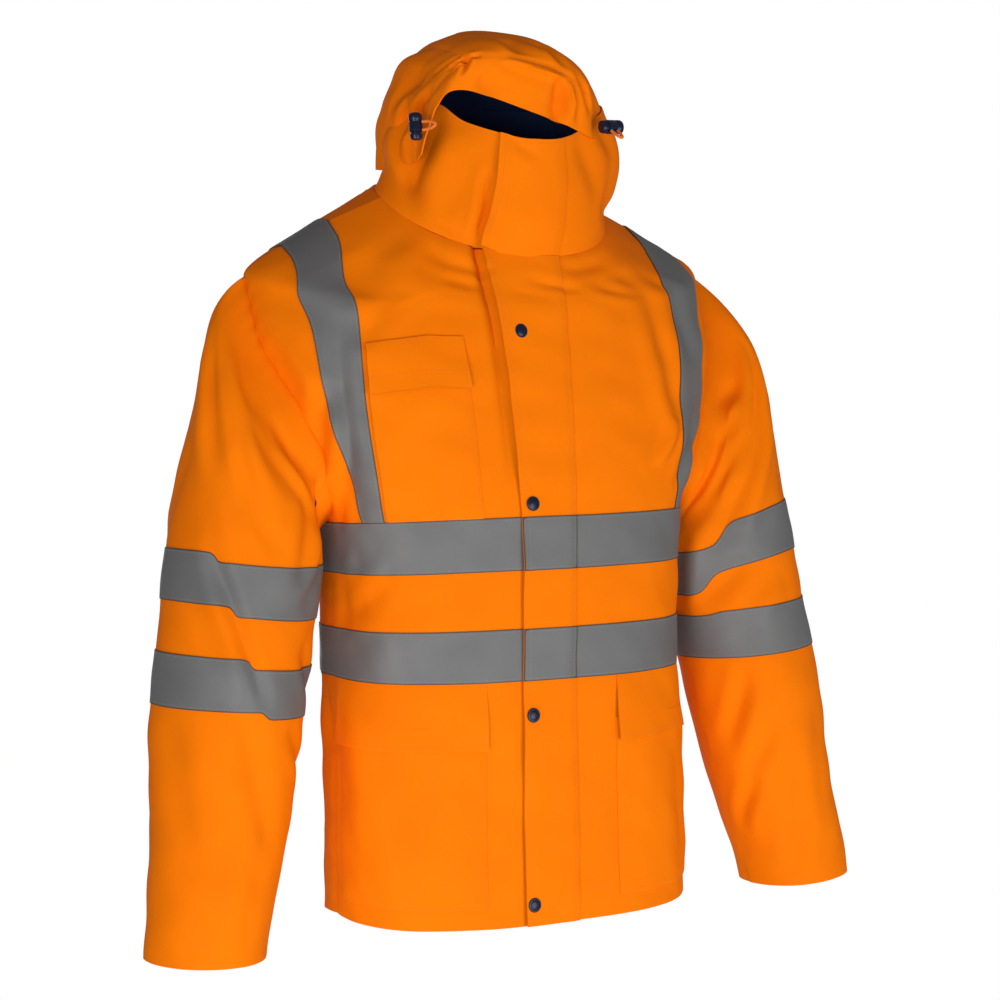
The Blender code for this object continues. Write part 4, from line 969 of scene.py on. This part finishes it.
def revolved(name, profile, sides, finish, centre, axis, squash=1.0):
    """A solid turned about an axis from (radius, height) pairs, closed at both ends.

    squash flattens it towards the jacket's front."""
    lead = Vector((0.3, -1.0, 0.2))
    first = (lead - axis * lead.dot(axis)).normalized()
    second = axis.cross(first)
    spots = []
    for radius, height in profile:
        for step in range(sides):
            turn = math.tau * step / sides
            spots.append(centre + axis * height + first * (radius * squash * math.cos(turn))
                         + second * (radius * math.sin(turn)))
    faces = []
    for ring in range(len(profile) - 1):
        for step in range(sides):
            after = (step + 1) % sides
            low, high = ring * sides, (ring + 1) * sides
            faces.append((low + step, low + after, high + after, high + step))
    faces.append(tuple(range(sides))[::-1])
    faces.append(tuple(range((len(profile) - 1) * sides, len(profile) * sides)))
    mesh = bpy.data.meshes.new(name)
    mesh.from_pydata([tuple(spot) for spot in spots], [], faces)
    mesh.materials.append(finish)
    mesh.shade_smooth()
    mesh.set_sharp_from_angle(angle=math.radians(44))
    return put(name, mesh)


def along(where, gone, grid):
    """Points of a line at given lengths along it; gone is the length at each of its own."""
    return np.stack([np.interp(where, gone, grid[:, axis]) for axis in range(3)], axis=-1)


def stitches(name, runs, finish):
    """Short raised threads along lines on the cloth."""
    spots, faces = [], []
    for line, outward in runs:
        gone = np.concatenate(([0.0], np.cumsum(np.linalg.norm(np.diff(line, axis=0), axis=-1))))
        count = int(gone[-1] / STITCH_PITCH)
        if count < 2:
            continue
        middle = (np.arange(count) + 0.5) * gone[-1] / count
        start = along(middle - STITCH_LENGTH / 2, gone, line)
        end = along(middle + STITCH_LENGTH / 2, gone, line)
        up = unit(along(middle, gone, outward))
        aside = unit(np.cross(up, end - start)) * (STITCH_WIDTH / 2)
        centre = along(middle, gone, line)
        top = centre + up * STITCH_HEIGHT
        first = len(spots)
        spots.extend(np.stack((start, centre + aside, end, centre - aside, top), axis=1)
                     .reshape(-1, 3).tolist())
        for place in range(count):
            a, left, b, right, peak = range(first + 5 * place, first + 5 * place + 5)
            faces.extend(((a, right, peak), (right, b, peak), (b, left, peak), (left, a, peak),
                          (a, left, b, right)))
    mesh = bpy.data.meshes.new(name)
    mesh.from_pydata(spots, [], faces)
    mesh.materials.append(finish)
    piece = put(name, mesh)
    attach(piece, "root")
    return piece


# ---- materials ---------------------------------------------------
def add(tree, kind, inputs=None, **settings):
    """A node; its inputs are plain values or the sockets that feed them."""
    made = tree.nodes.new("ShaderNode" + kind)
    for key, value in settings.items():
        setattr(made, key, value)
    for key, value in (inputs or {}).items():
        if isinstance(value, bpy.types.NodeSocket):
            tree.links.new(value, made.inputs[key])
        else:
            made.inputs[key].default_value = value
    return made


def maths(tree, operation, first, second=0.0):
    return add(tree, "Math", {0: first, 1: second}, operation=operation).outputs[0]


def noise(tree, scale, detail=3.0, roughness=0.5):
    where = add(tree, "TexCoord").outputs["Object"]
    return add(tree, "TexNoise", {"Vector": where, "Scale": scale, "Detail": detail,
                                  "Roughness": roughness}).outputs["Fac"]


def weave(tree, pitch):
    """Threads over and under each other, from the UV place in metres."""
    place = add(tree, "SeparateXYZ", {0: add(tree, "UVMap", uv_map="cloth").outputs[0]})
    turns = math.tau / pitch
    warp = maths(tree, "SINE", maths(tree, "MULTIPLY", place.outputs[0], turns))
    weft = maths(tree, "SINE", maths(tree, "MULTIPLY", place.outputs[1], turns))
    return maths(tree, "MULTIPLY_ADD", maths(tree, "MULTIPLY", warp, weft), 0.5)


def ramp(tree, value, low, high):
    """0 below low, 1 above high, smooth between."""
    return add(tree, "MapRange", {"Value": value, "From Min": low, "From Max": high},
               interpolation_type="SMOOTHSTEP").outputs[0]


def blend(tree, part, first, second):
    made = add(tree, "Mix", {"Factor": part}, data_type="RGBA")
    for socket, value in ((made.inputs[6], first), (made.inputs[7], second)):
        if isinstance(value, bpy.types.NodeSocket):
            tree.links.new(value, socket)
        else:
            socket.default_value = (*value, 1.0)
    return made.outputs[2]


def bumped(tree, height, distance, strength=1.0, before=None):
    inputs = {"Height": height, "Distance": distance, "Strength": strength}
    if before is not None:
        inputs["Normal"] = before
    return add(tree, "Bump", inputs).outputs[0]


def spread(tree, value, low, high):
    """A value of 0 to 1 spread over low to high."""
    return add(tree, "MapRange", {"Value": value, "To Min": low, "To Max": high}).outputs[0]


def feed(tree, shader, colour, rough=None, normal=None):
    """Link what drives a shader's colour, roughness and normal."""
    for socket, name in ((colour, "Base Color"), (rough, "Roughness"), (normal, "Normal")):
        if socket is not None:
            tree.links.new(socket, shader.inputs[name])


def finish_of(name, **fixed):
    """A new material with its shader's constants set, and its tree."""
    made = bpy.data.materials.new(name)
    made.use_nodes = True
    shader = made.node_tree.nodes["Principled BSDF"]
    for key, value in fixed.items():
        shader.inputs[key.replace("_", " ").title().replace("Ior", "IOR")].default_value = value
    return made, made.node_tree, shader


def cloth_material(name, colour, deep, pitch, roughness, sheen, shine):
    """Woven cloth: colour drifts a little, the weave shows close up, edges are worn paler."""
    made, tree, shader = finish_of(name, sheen_weight=sheen, sheen_roughness=0.5,
                                   specular_ior_level=shine)
    drift = noise(tree, 9.0, 4.0)
    threads = weave(tree, pitch)
    worn = maths(tree, "MULTIPLY", ramp(tree, noise(tree, 60.0, 3.0), 0.35, 0.8), 0.35)
    edge = add(tree, "Attribute", attribute_name="edge_distance").outputs["Fac"]
    at_edge = maths(tree, "SUBTRACT", 1.0, ramp(tree, edge, 0.0, 2.2 * MM))
    tone = blend(tree, maths(tree, "MULTIPLY", ramp(tree, drift, 0.3, 0.75), 0.55), colour, deep)
    tone = blend(tree, maths(tree, "MULTIPLY", threads, 0.10), tone, deep)
    tone = blend(tree, maths(tree, "MULTIPLY", at_edge, worn), tone,
                 tuple(min(1.0, part * 1.12 + 0.004) for part in colour))
    gloss = spread(tree, noise(tree, 34.0, 3.0), roughness - 0.06, roughness + 0.08)
    fine = bumped(tree, threads, 0.05 * MM, 0.6)
    feed(tree, shader, tone, gloss, bumped(tree, noise(tree, 95.0, 5.0, 0.6), 0.35 * MM, 0.5, fine))
    return made


def tape_material():
    """Retroreflective tape: fine beaded rows, a dark brown edge that is partly its heat-cut edge and
    partly painted contact shadow, and rubbed patches.
    """
    made, tree, shader = finish_of("grey_tape_shown", metallic=0.12, specular_ior_level=0.3)
    edge = add(tree, "Attribute", attribute_name="edge_distance").outputs["Fac"]
    # the tape's last millimetre or so is painted dark brown: partly its heat-cut edge, partly painted
    # contact shadow where it meets the cloth
    cut_edge_and_shadow = maths(tree, "SUBTRACT", 1.0, ramp(tree, edge, 0.5 * MM, 1.4 * MM))
    beads = weave(tree, 1.1 * MM)
    rubbed = ramp(tree, noise(tree, 16.0, 5.0, 0.6), 0.35, 0.8)
    tone = blend(tree, maths(tree, "MULTIPLY", rubbed, 0.5), GREY, GREY_DEEP)
    tone = blend(tree, maths(tree, "MULTIPLY", beads, 0.16), tone, (0.26, 0.26, 0.26))
    tone = blend(tree, maths(tree, "MULTIPLY", cut_edge_and_shadow, 0.85), tone, (0.062, 0.032, 0.014))
    gloss = spread(tree, noise(tree, 45.0, 3.0), 0.46, 0.62)
    fine = bumped(tree, beads, 0.06 * MM, 0.7)
    feed(tree, shader, tone, gloss, bumped(tree, noise(tree, 70.0, 4.0, 0.6), 0.3 * MM, 0.45, fine))
    return made


def thread_material(name, colour, deep):
    made, tree, shader = finish_of(name, roughness=0.7, sheen_weight=0.2)
    tone = blend(tree, ramp(tree, noise(tree, 700.0, 2.0), 0.35, 0.7), colour, deep)
    feed(tree, shader, tone)
    return made


def plastic_material():
    """Moulded navy plastic: faint grain, scuffs that catch the light."""
    made, tree, shader = finish_of("navy_plastic_shown", specular_ior_level=0.35)
    scuff = ramp(tree, noise(tree, 420.0, 5.0, 0.65), 0.52, 0.75)
    tone = blend(tree, maths(tree, "MULTIPLY", scuff, 0.4), NAVY_PLASTIC, (0.012, 0.026, 0.080))
    feed(tree, shader, tone, spread(tree, scuff, 0.30, 0.52),
         bumped(tree, noise(tree, 900.0, 3.0), 0.08 * MM, 0.5))
    return made


def cord_material():
    """A braided cord: slanting strands round it, from its own coordinates."""
    made, tree, shader = finish_of("orange_cord_shown", roughness=0.72, sheen_weight=0.25)
    where = add(tree, "TexCoord").outputs["Object"]
    strands = add(tree, "TexWave", {"Vector": where, "Scale": 260.0, "Distortion": 1.5,
                                    "Detail": 1.0}, bands_direction="DIAGONAL").outputs["Fac"]
    tone = blend(tree, maths(tree, "MULTIPLY", strands, 0.5), ORANGE, (0.55, 0.10, 0.001))
    feed(tree, shader, tone, normal=bumped(tree, strands, 0.25 * MM, 0.8))
    return made


def floor_material():
    made, tree, shader = finish_of("pale_floor", specular_ior_level=0.2)
    tone = blend(tree, ramp(tree, noise(tree, 1.4, 3.0), 0.3, 0.7), (0.86, 0.86, 0.86),
                 (0.90, 0.90, 0.90))
    feed(tree, shader, tone, spread(tree, noise(tree, 6.0), 0.8, 0.95))
    return made


# ---- the jacket --------------------------------------------------
def gutter_depth(cloth, flap_edge):
    """The hollow in the chest beside the storm flap's free edge, deepest at the neck."""
    off = (cloth.left - cloth.left[:, flap_edge, None] + GUTTER_ASIDE) / GUTTER_HALF_WIDTH
    rise = np.clip((cloth.spots[..., 2] - GUTTER_FOOT) / (NECK - GUTTER_FOOT), 0, 1)
    return GUTTER_DEPTH * np.exp(-off ** 2) * rise ** 0.6


def show_body(fronts, back, sleeves, finishes):
    cloth_edges = ("low",)
    for name, flat in (("right", (0.27, 0.72)), ("left", (0.27, 0.72))):
        cloth, marks = fronts[name]
        cloth = cloth.seamed(("left", "right", "high")).puckered(("left", "right"))
        if name == "right":
            cloth = cloth.raised(-gutter_depth(cloth, marks["flap_edge"]))
        show_cloth("front_" + name, cloth, SHELL, finishes,
                   edges=cloth_edges)
    cloth = back[0].seamed(("left", "right", "high")).puckered(("left", "right"))
    show_cloth("back", cloth, SHELL, finishes,
               edges=cloth_edges)
    for name, cloth in sleeves.items():
        sewn = cloth.puckered(("high",), height=0.8 * MM, reach=14 * MM)
        show_cloth("sleeve_" + name, sewn, SHELL, finishes,
                   edges=cloth_edges)


def show_tapes(fronts, back, sleeves, tape):
    """Every tape, and the lines of stitches just inside its long edges."""
    runs = []
    bands = {"low": LOW_TAPE, "high": HIGH_TAPE}

    def lay(node, cloth, across=False):
        laid = cloth.raised(TAPE_TOP)
        edges = ("left", "right") if across else ("low", "high")
        show_cloth(node, laid, TAPE, (tape,), edges=edges)
        runs.extend(laid.line(edge, TAPE_STITCH) for edge in edges)

    for height, (bottom, top) in bands.items():
        rows = slice(row_of(bottom), row_of(top) + 1)
        right, marks = fronts["right"]
        lay("tape_%s_front_right" % height, right.block(rows, slice(marks["side"], marks["centre"] + 1)))
        left, marks = fronts["left"]
        lay("tape_%s_front_left" % height,
            left.block(rows, slice(marks["flap_edge"], marks["side"] + 1)))
        lay("tape_%s_back" % height, back[0].block(rows, slice(None)))
    for name, side in (("right", -1), ("left", 1)):
        lay("brace_" + name, brace_cloth(side, *fronts[name], *back),
            across=True)
        for height, down in (("high", 1), ("low", 3)):
            rows = slice(sleeve_row(down + 1), sleeve_row(down) + 1)
            ring = Cloth(sleeves[name].spots[rows], sleeves[name].outward[rows], closed=True)
            lay("tape_%s_sleeve_%s" % (height, name), ring)
    return runs


def brace_cloth(side, front, marks, back, places, centre):
    """One strip from the upper tape in front, over the shoulder, to the tape behind."""
    rows = slice(ARMPIT_ROW, None)
    if side < 0:
        ahead = front.block(rows, slice(marks["brace_outer"], marks["brace_inner"] + 1))
        columns = slice(centre + places["brace_inner"], centre + places["brace_outer"] + 1)
    else:
        ahead = front.block(rows, slice(marks["brace_inner"], marks["brace_outer"] + 1))
        columns = slice(centre - places["brace_outer"], centre - places["brace_inner"] + 1)
    behind = back.block(rows, columns)
    spots = np.concatenate((ahead.spots, behind.spots[-2::-1, ::-1]))
    outward = np.concatenate((ahead.outward, behind.outward[-2::-1, ::-1]))
    return Cloth(spots, outward)


def flap_cloth(fronts):
    """The front under the storm flap, from its free edge to its seam."""
    right, right_marks = fronts["right"]
    left, left_marks = fronts["left"]
    ahead = right.block(slice(None), slice(right_marks["flap_edge"], right_marks["centre"] + 1))
    after = left.block(slice(None), slice(left_marks["centre"] + 1, left_marks["flap_edge"] + 1))
    return Cloth(np.concatenate((ahead.spots, after.spots), axis=1),
                 np.concatenate((ahead.outward, after.outward), axis=1))


def flap_height(cloth, stand, free_reach, sink, sewn_reach):
    """A flap's height: one side is free and stands off, the other is sewn down."""
    free = np.exp(-cloth.left / free_reach)
    sewn = np.exp(-(cloth.right / sewn_reach) ** 2)
    return FLAP_TOP + stand * free - sink * sewn


def storm_flap_height(cloth):
    """Its free edge waves, and stands off further beside the gutter."""
    wave = 0.8 * np.sin(cloth.low * 41 + 0.5) + 0.6 * np.sin(cloth.low * 67 + 2.1)
    beside_gutter = np.clip((cloth.spots[..., 2] - GUTTER_FOOT) / 0.1, 0, 1)
    stand = (0.6 + wave + 2.4 * beside_gutter) * MM
    return flap_height(cloth, stand, 13 * MM, 1.6 * MM, 5 * MM)


def show_storm_flap(fronts, finishes, tape):
    cloth = flap_cloth(fronts)
    lifted = cloth.raised(storm_flap_height(cloth))
    show_cloth("storm_flap", lifted, SHELL, finishes,
               edges=("left",))
    runs = [lifted.line("left", FREE_STITCH), lifted.line("right", EDGE_STITCH)]
    tape_runs = []
    for height, (bottom, top) in (("low", LOW_TAPE), ("high", HIGH_TAPE)):
        laid = lifted.block(slice(row_of(bottom), row_of(top) + 1), slice(None)).raised(TAPE_TOP)
        show_cloth("tape_%s_flap" % height, laid, TAPE, (tape,))
        tape_runs.extend(laid.line(edge, TAPE_STITCH) for edge in ("low", "high"))
        tape_runs.extend((laid.line("left", FREE_STITCH), laid.line("right", EDGE_STITCH)))
    return runs, tape_runs


def hung_flap(cloth, base, lift, power, ripple, waves, start):
    """A flap sewn along its top, further out and rippled towards its lower edge; in mm."""
    hang = np.clip(cloth.high / cloth.high.max(), 0, 1)
    wave = ripple * np.sin(cloth.left * waves + start) * hang
    return cloth.raised((base + lift * hang ** power + wave) * MM)


def show_pockets(fronts, finishes):
    runs = []
    for name in ("right", "left"):
        cloth, marks = fronts[name]
        near, far = sorted((marks["pocket_edge"], marks["side"]))
        columns = slice(near, far - 2) if name == "left" else slice(near + 3, far + 1)
        bag = cloth.block(slice(row_of(POCKET_FOOT), row_of(POCKET_MOUTH) + 1), columns)
        inside = np.clip(bag.from_edge(("left", "right", "low")) / POCKET_SWELL_REACH, 0, 1)
        full = bag.raised(POCKET_TOP + POCKET_SWELL * inside).seamed(("left", "right", "low"), 0.8 * MM)
        show_cloth("pocket_" + name, full, SHELL, finishes,
                   edges=("left", "right", "low"))
        runs.extend(full.line(edge, EDGE_STITCH) for edge in ("left", "right", "low"))
        flap = cloth.block(slice(row_of(FLAP_TIP), row_of(LOW_TAPE[0]) + 1), columns)
        lifted = hung_flap(flap, **POCKET_HANG)
        show_cloth("pocket_flap_" + name, lifted, SHELL, finishes,
                   edges=("left", "right", "low"))
        runs.extend(lifted.line(edge, FLAP_STITCH) for edge in ("left", "right", "low"))
    runs.extend(show_chest_pocket(fronts, finishes))
    return runs


def show_chest_pocket(fronts, finishes):
    cloth, marks = fronts["right"]
    columns = slice(marks["brace_inner"] + 1, marks["pocket_edge"] + 1)
    top, bottom = upper_row_of(CHEST_FLAP[1]), upper_row_of(CHEST_FLAP[0])
    bag = cloth.block(slice(ARMPIT_ROW, top + 1), columns)
    full = bag.raised(POCKET_TOP).seamed(("right",), 0.8 * MM)
    show_cloth("chest_pocket", full, SHELL, finishes,
               edges=("right",))
    flap = cloth.block(slice(bottom, top + 1), columns)
    lifted = hung_flap(flap, **CHEST_HANG)
    show_cloth("chest_pocket_flap", lifted, SHELL, finishes,
               edges=("left", "right", "low"))
    return [full.line("right", EDGE_STITCH), lifted.line("low", 16 * MM),
            lifted.line("high", EDGE_STITCH)]


def collar_cloth(turns):
    """Columns run along the given angles, rows from the neck seam up."""
    up = np.linspace(0, 1, 30)
    turn, height = np.meshgrid(turns, up)
    spots = bare_collar(turn, height)
    press = crease_height(COLLAR_CREASES, turn, height, COLLAR_DEGREE, COLLAR_HEIGHT)
    press = press + waviness(turn * COLLAR_DEGREE, height * COLLAR_HEIGHT + 0.5)
    swell_turn, turn_reach, swell_up, up_reach, swell = COLLAR_SWELL
    near = np.exp(-((turn - swell_turn) / turn_reach) ** 2 - ((height - swell_up) / up_reach) ** 2)
    press = (press + swell * near) * np.clip(height * 6, 0, 1)
    return pressed(spots, press, closed=False)


def show_collar(finishes, lining):
    whole = collar_cloth(np.linspace(0, 360, 190))
    show_cloth("collar", whole.lipped("low", -whole.outward[0]), SHELL, finishes,
               edges=("high",))
    inside = whole.block(slice(3, None), slice(None)).raised(-SHELL - 0.4 * MM)
    show_cloth("collar_lining", inside, 0.8 * MM, (lining,))
    over = collar_cloth(np.linspace(*COLLAR_FLAP, 22))
    lifted = over.raised(flap_height(over, 1.2 * MM, 12 * MM, 1.4 * MM, 6 * MM))
    show_cloth("collar_flap", lifted, SHELL, finishes,
               edges=("left", "high"))
    return [whole.line("high", 4 * MM), lifted.line("left", 6 * MM), lifted.line("high", 4 * MM)]


def hood_cloth(backs, turns):
    back, turn = np.meshgrid(backs, turns, indexing="ij")
    spots, outward = bare_hood(back, turn), bare_hood_normals(back, turn)
    press = HOOD_GAIN * crease_height(HOOD_CREASES, turn, back, HOOD_DEGREE, HOOD_LENGTH)
    press = press + waviness(turn * HOOD_DEGREE, back * HOOD_LENGTH + 0.9)
    moved = spots + outward * press[..., None]
    found = grid_normals(moved, closed=False)
    return Cloth(moved, found * np.sign(np.sum(found * outward, axis=-1, keepdims=True)))


def show_hood(finishes):
    sides = refined((-90.0, -CROWN_HALF), 1.7)
    crown = refined((-CROWN_HALF, CROWN_HALF), 1.7)
    backs = refined((BRIM_DEPTH, 1.0), 0.012)
    runs = []
    seams = {"hood_side_right": ("right", "low"), "hood_crown": ("left", "right", "low"),
             "hood_side_left": ("left", "low")}
    for node, turns, flat in (("hood_side_right", sides, (0.155, 0.125)),
                              ("hood_crown", crown, (0.16, 0.29)),
                              ("hood_side_left", -sides[::-1], (0.155, 0.125))):
        cloth = hood_cloth(backs, turns).seamed(seams[node])
        show_cloth(node, cloth, SHELL, finishes,
                   edges=("high",))
        runs.extend(cloth.line(edge, EDGE_STITCH) for edge in seams[node])
    brim = hood_cloth(refined((0.0, BRIM_DEPTH), 0.010), refined((-90.0, 90.0), 1.7))
    show_cloth("hood_brim", brim.seamed(("high",)), SHELL, finishes,
               edges=("low",))
    runs.extend((brim.line("high", EDGE_STITCH), brim.line("low", 12 * MM)))
    return runs


def show_snaps(plastic):
    profile = [(radius * MM, up * MM) for radius, up in SNAP_PROFILE]
    for node, level, x in SNAPS:
        across = abs(x) / torso_at("half_width", level)
        angle = -np.degrees(np.arcsin(across ** (torso_at("square", level) / 2)))
        outward = Vector(torso_normals(angle, np.array(level)))
        centre = middle_of(node) - outward * SNAP_SINK
        stands_for(revolved(node + "_shown", profile, 40, plastic, centre, outward), node)


def middle_of(node):
    low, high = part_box(node)
    return (Vector(low) + Vector(high)) / 2


def show_cords(cord, plastic):
    """The drawcord's loops first, then the locks that hold them."""
    profile = [(LOCK_RADIUS * share, up * MM - LOCK_LENGTH / 2) for share, up in LOCK_PROFILE]
    for name, axis, loop_way in LOCKS:
        centre, axis, loop_way = middle_of(name), Vector(axis).normalized(), Vector(loop_way)
        away = (loop_way - axis * loop_way.dot(axis)).normalized()
        start = centre + away * (LOCK_RADIUS + CORD_GAP)
        node = name.replace("lock", "loop")
        curve = bpy.data.curves.new(node + "_shown", "CURVE")
        curve.dimensions = "3D"
        curve.bevel_depth = CORD_DIAMETER / 2
        curve.bevel_resolution = 5
        curve.use_fill_caps = True
        curve.materials.append(cord)
        spline = curve.splines.new("POLY")
        spline.points.add(LOOP_STEPS)
        for step in range(LOOP_STEPS + 1):
            turn = math.pi * step / LOOP_STEPS
            spot = (start - axis * (LOOP_HALF_WIDTH * math.cos(turn))
                    + away * (LOOP_REACH * math.sin(turn)))
            spline.points[step].co = (*spot, 1.0)
        loop = stands_for(put(node + "_shown", curve), node)
        body = revolved(name + "_shown", profile, 36, plastic, centre, axis, squash=LOCK_SQUASH)
        stands_for(body, name)


def build_camera():
    turn, rise = math.radians(CAMERA_TURN), math.radians(CAMERA_RISE)
    back = Vector((math.sin(turn) * math.cos(rise), -math.cos(turn) * math.cos(rise),
                   math.sin(rise)))
    data = bpy.data.cameras.new("camera")
    data.lens = CAMERA_LENS
    data.sensor_width = CAMERA_SENSOR
    camera = put("camera", data)
    camera.location = CAMERA_AIM + back * CAMERA_REACH
    camera.rotation_euler = back.to_track_quat("Z", "Y").to_euler()
    bpy.context.scene.camera = camera


def build_light(name, azimuth, rise, reach, size, power):
    data = bpy.data.lights.new(name, "AREA")
    data.shape = "DISK"
    data.size = size
    data.energy = power
    turn, up = math.radians(azimuth), math.radians(rise)
    back = Vector((math.sin(turn) * math.cos(up), -math.cos(turn) * math.cos(up), math.sin(up)))
    lamp = put(name, data)
    lamp.location = CAMERA_AIM + back * reach
    lamp.rotation_euler = back.to_track_quat("Z", "Y").to_euler()


def build_room():
    steps = 96
    turns = [math.tau * step / steps for step in range(steps)]
    rim = [(FLOOR_RADIUS * math.cos(turn), FLOOR_RADIUS * math.sin(turn), FLOOR_LEVEL) for turn in turns]
    mesh = bpy.data.meshes.new("floor")
    mesh.from_pydata(rim, [], [tuple(range(steps))])
    mesh.materials.append(floor_material())
    put("floor", mesh)
    world = bpy.data.worlds.new("soft_white")       # seen as plain white, but lights softly
    bpy.context.scene.world = world
    world.use_nodes = True
    tree = world.node_tree
    seen = add(tree, "LightPath").outputs["Is Camera Ray"]
    strength = spread(tree, seen, WORLD_LIGHT, 1.0)
    background = tree.nodes["Background"]
    background.inputs["Color"].default_value = (1.0, 1.0, 1.0, 1.0)
    tree.links.new(strength, background.inputs["Strength"])
    for light in LIGHTS:
        build_light(*light)
    bpy.context.scene.view_settings.view_transform = "Standard"


def main():
    build_camera()
    build_room()
    plastic = plastic_material()
    show_cords(cord_material(), plastic)
    orange = cloth_material("orange_cloth_shown", ORANGE, ORANGE_DEEP, 0.9 * MM, 0.75, 0.0, 0.05)
    lining = cloth_material("navy_lining_shown", NAVY, NAVY_DEEP, 1.2 * MM, 0.8, 0.1, 0.2)
    tape = tape_material()
    fronts, back = front_cloths(), back_cloth()
    sleeves = {"right": sleeve_cloth(-1), "left": sleeve_cloth(1)}
    finishes = (orange, lining)
    show_body(fronts, back, sleeves, finishes)
    tape_runs = show_tapes(fronts, back, sleeves, tape)
    cloth_runs, flap_tape_runs = show_storm_flap(fronts, finishes, tape)
    cloth_runs += show_pockets(fronts, finishes) + show_collar(finishes, lining) + show_hood(finishes)
    show_snaps(plastic)
    orange_thread = thread_material("orange_thread", (0.80, 0.16, 0.001), (0.62, 0.12, 0.001))
    grey_thread = thread_material("grey_thread", (0.30, 0.30, 0.30), (0.22, 0.22, 0.22))
    stitches("topstitch_orange", cloth_runs, orange_thread)
    stitches("topstitch_grey", tape_runs + flap_tape_runs, grey_thread)


main()
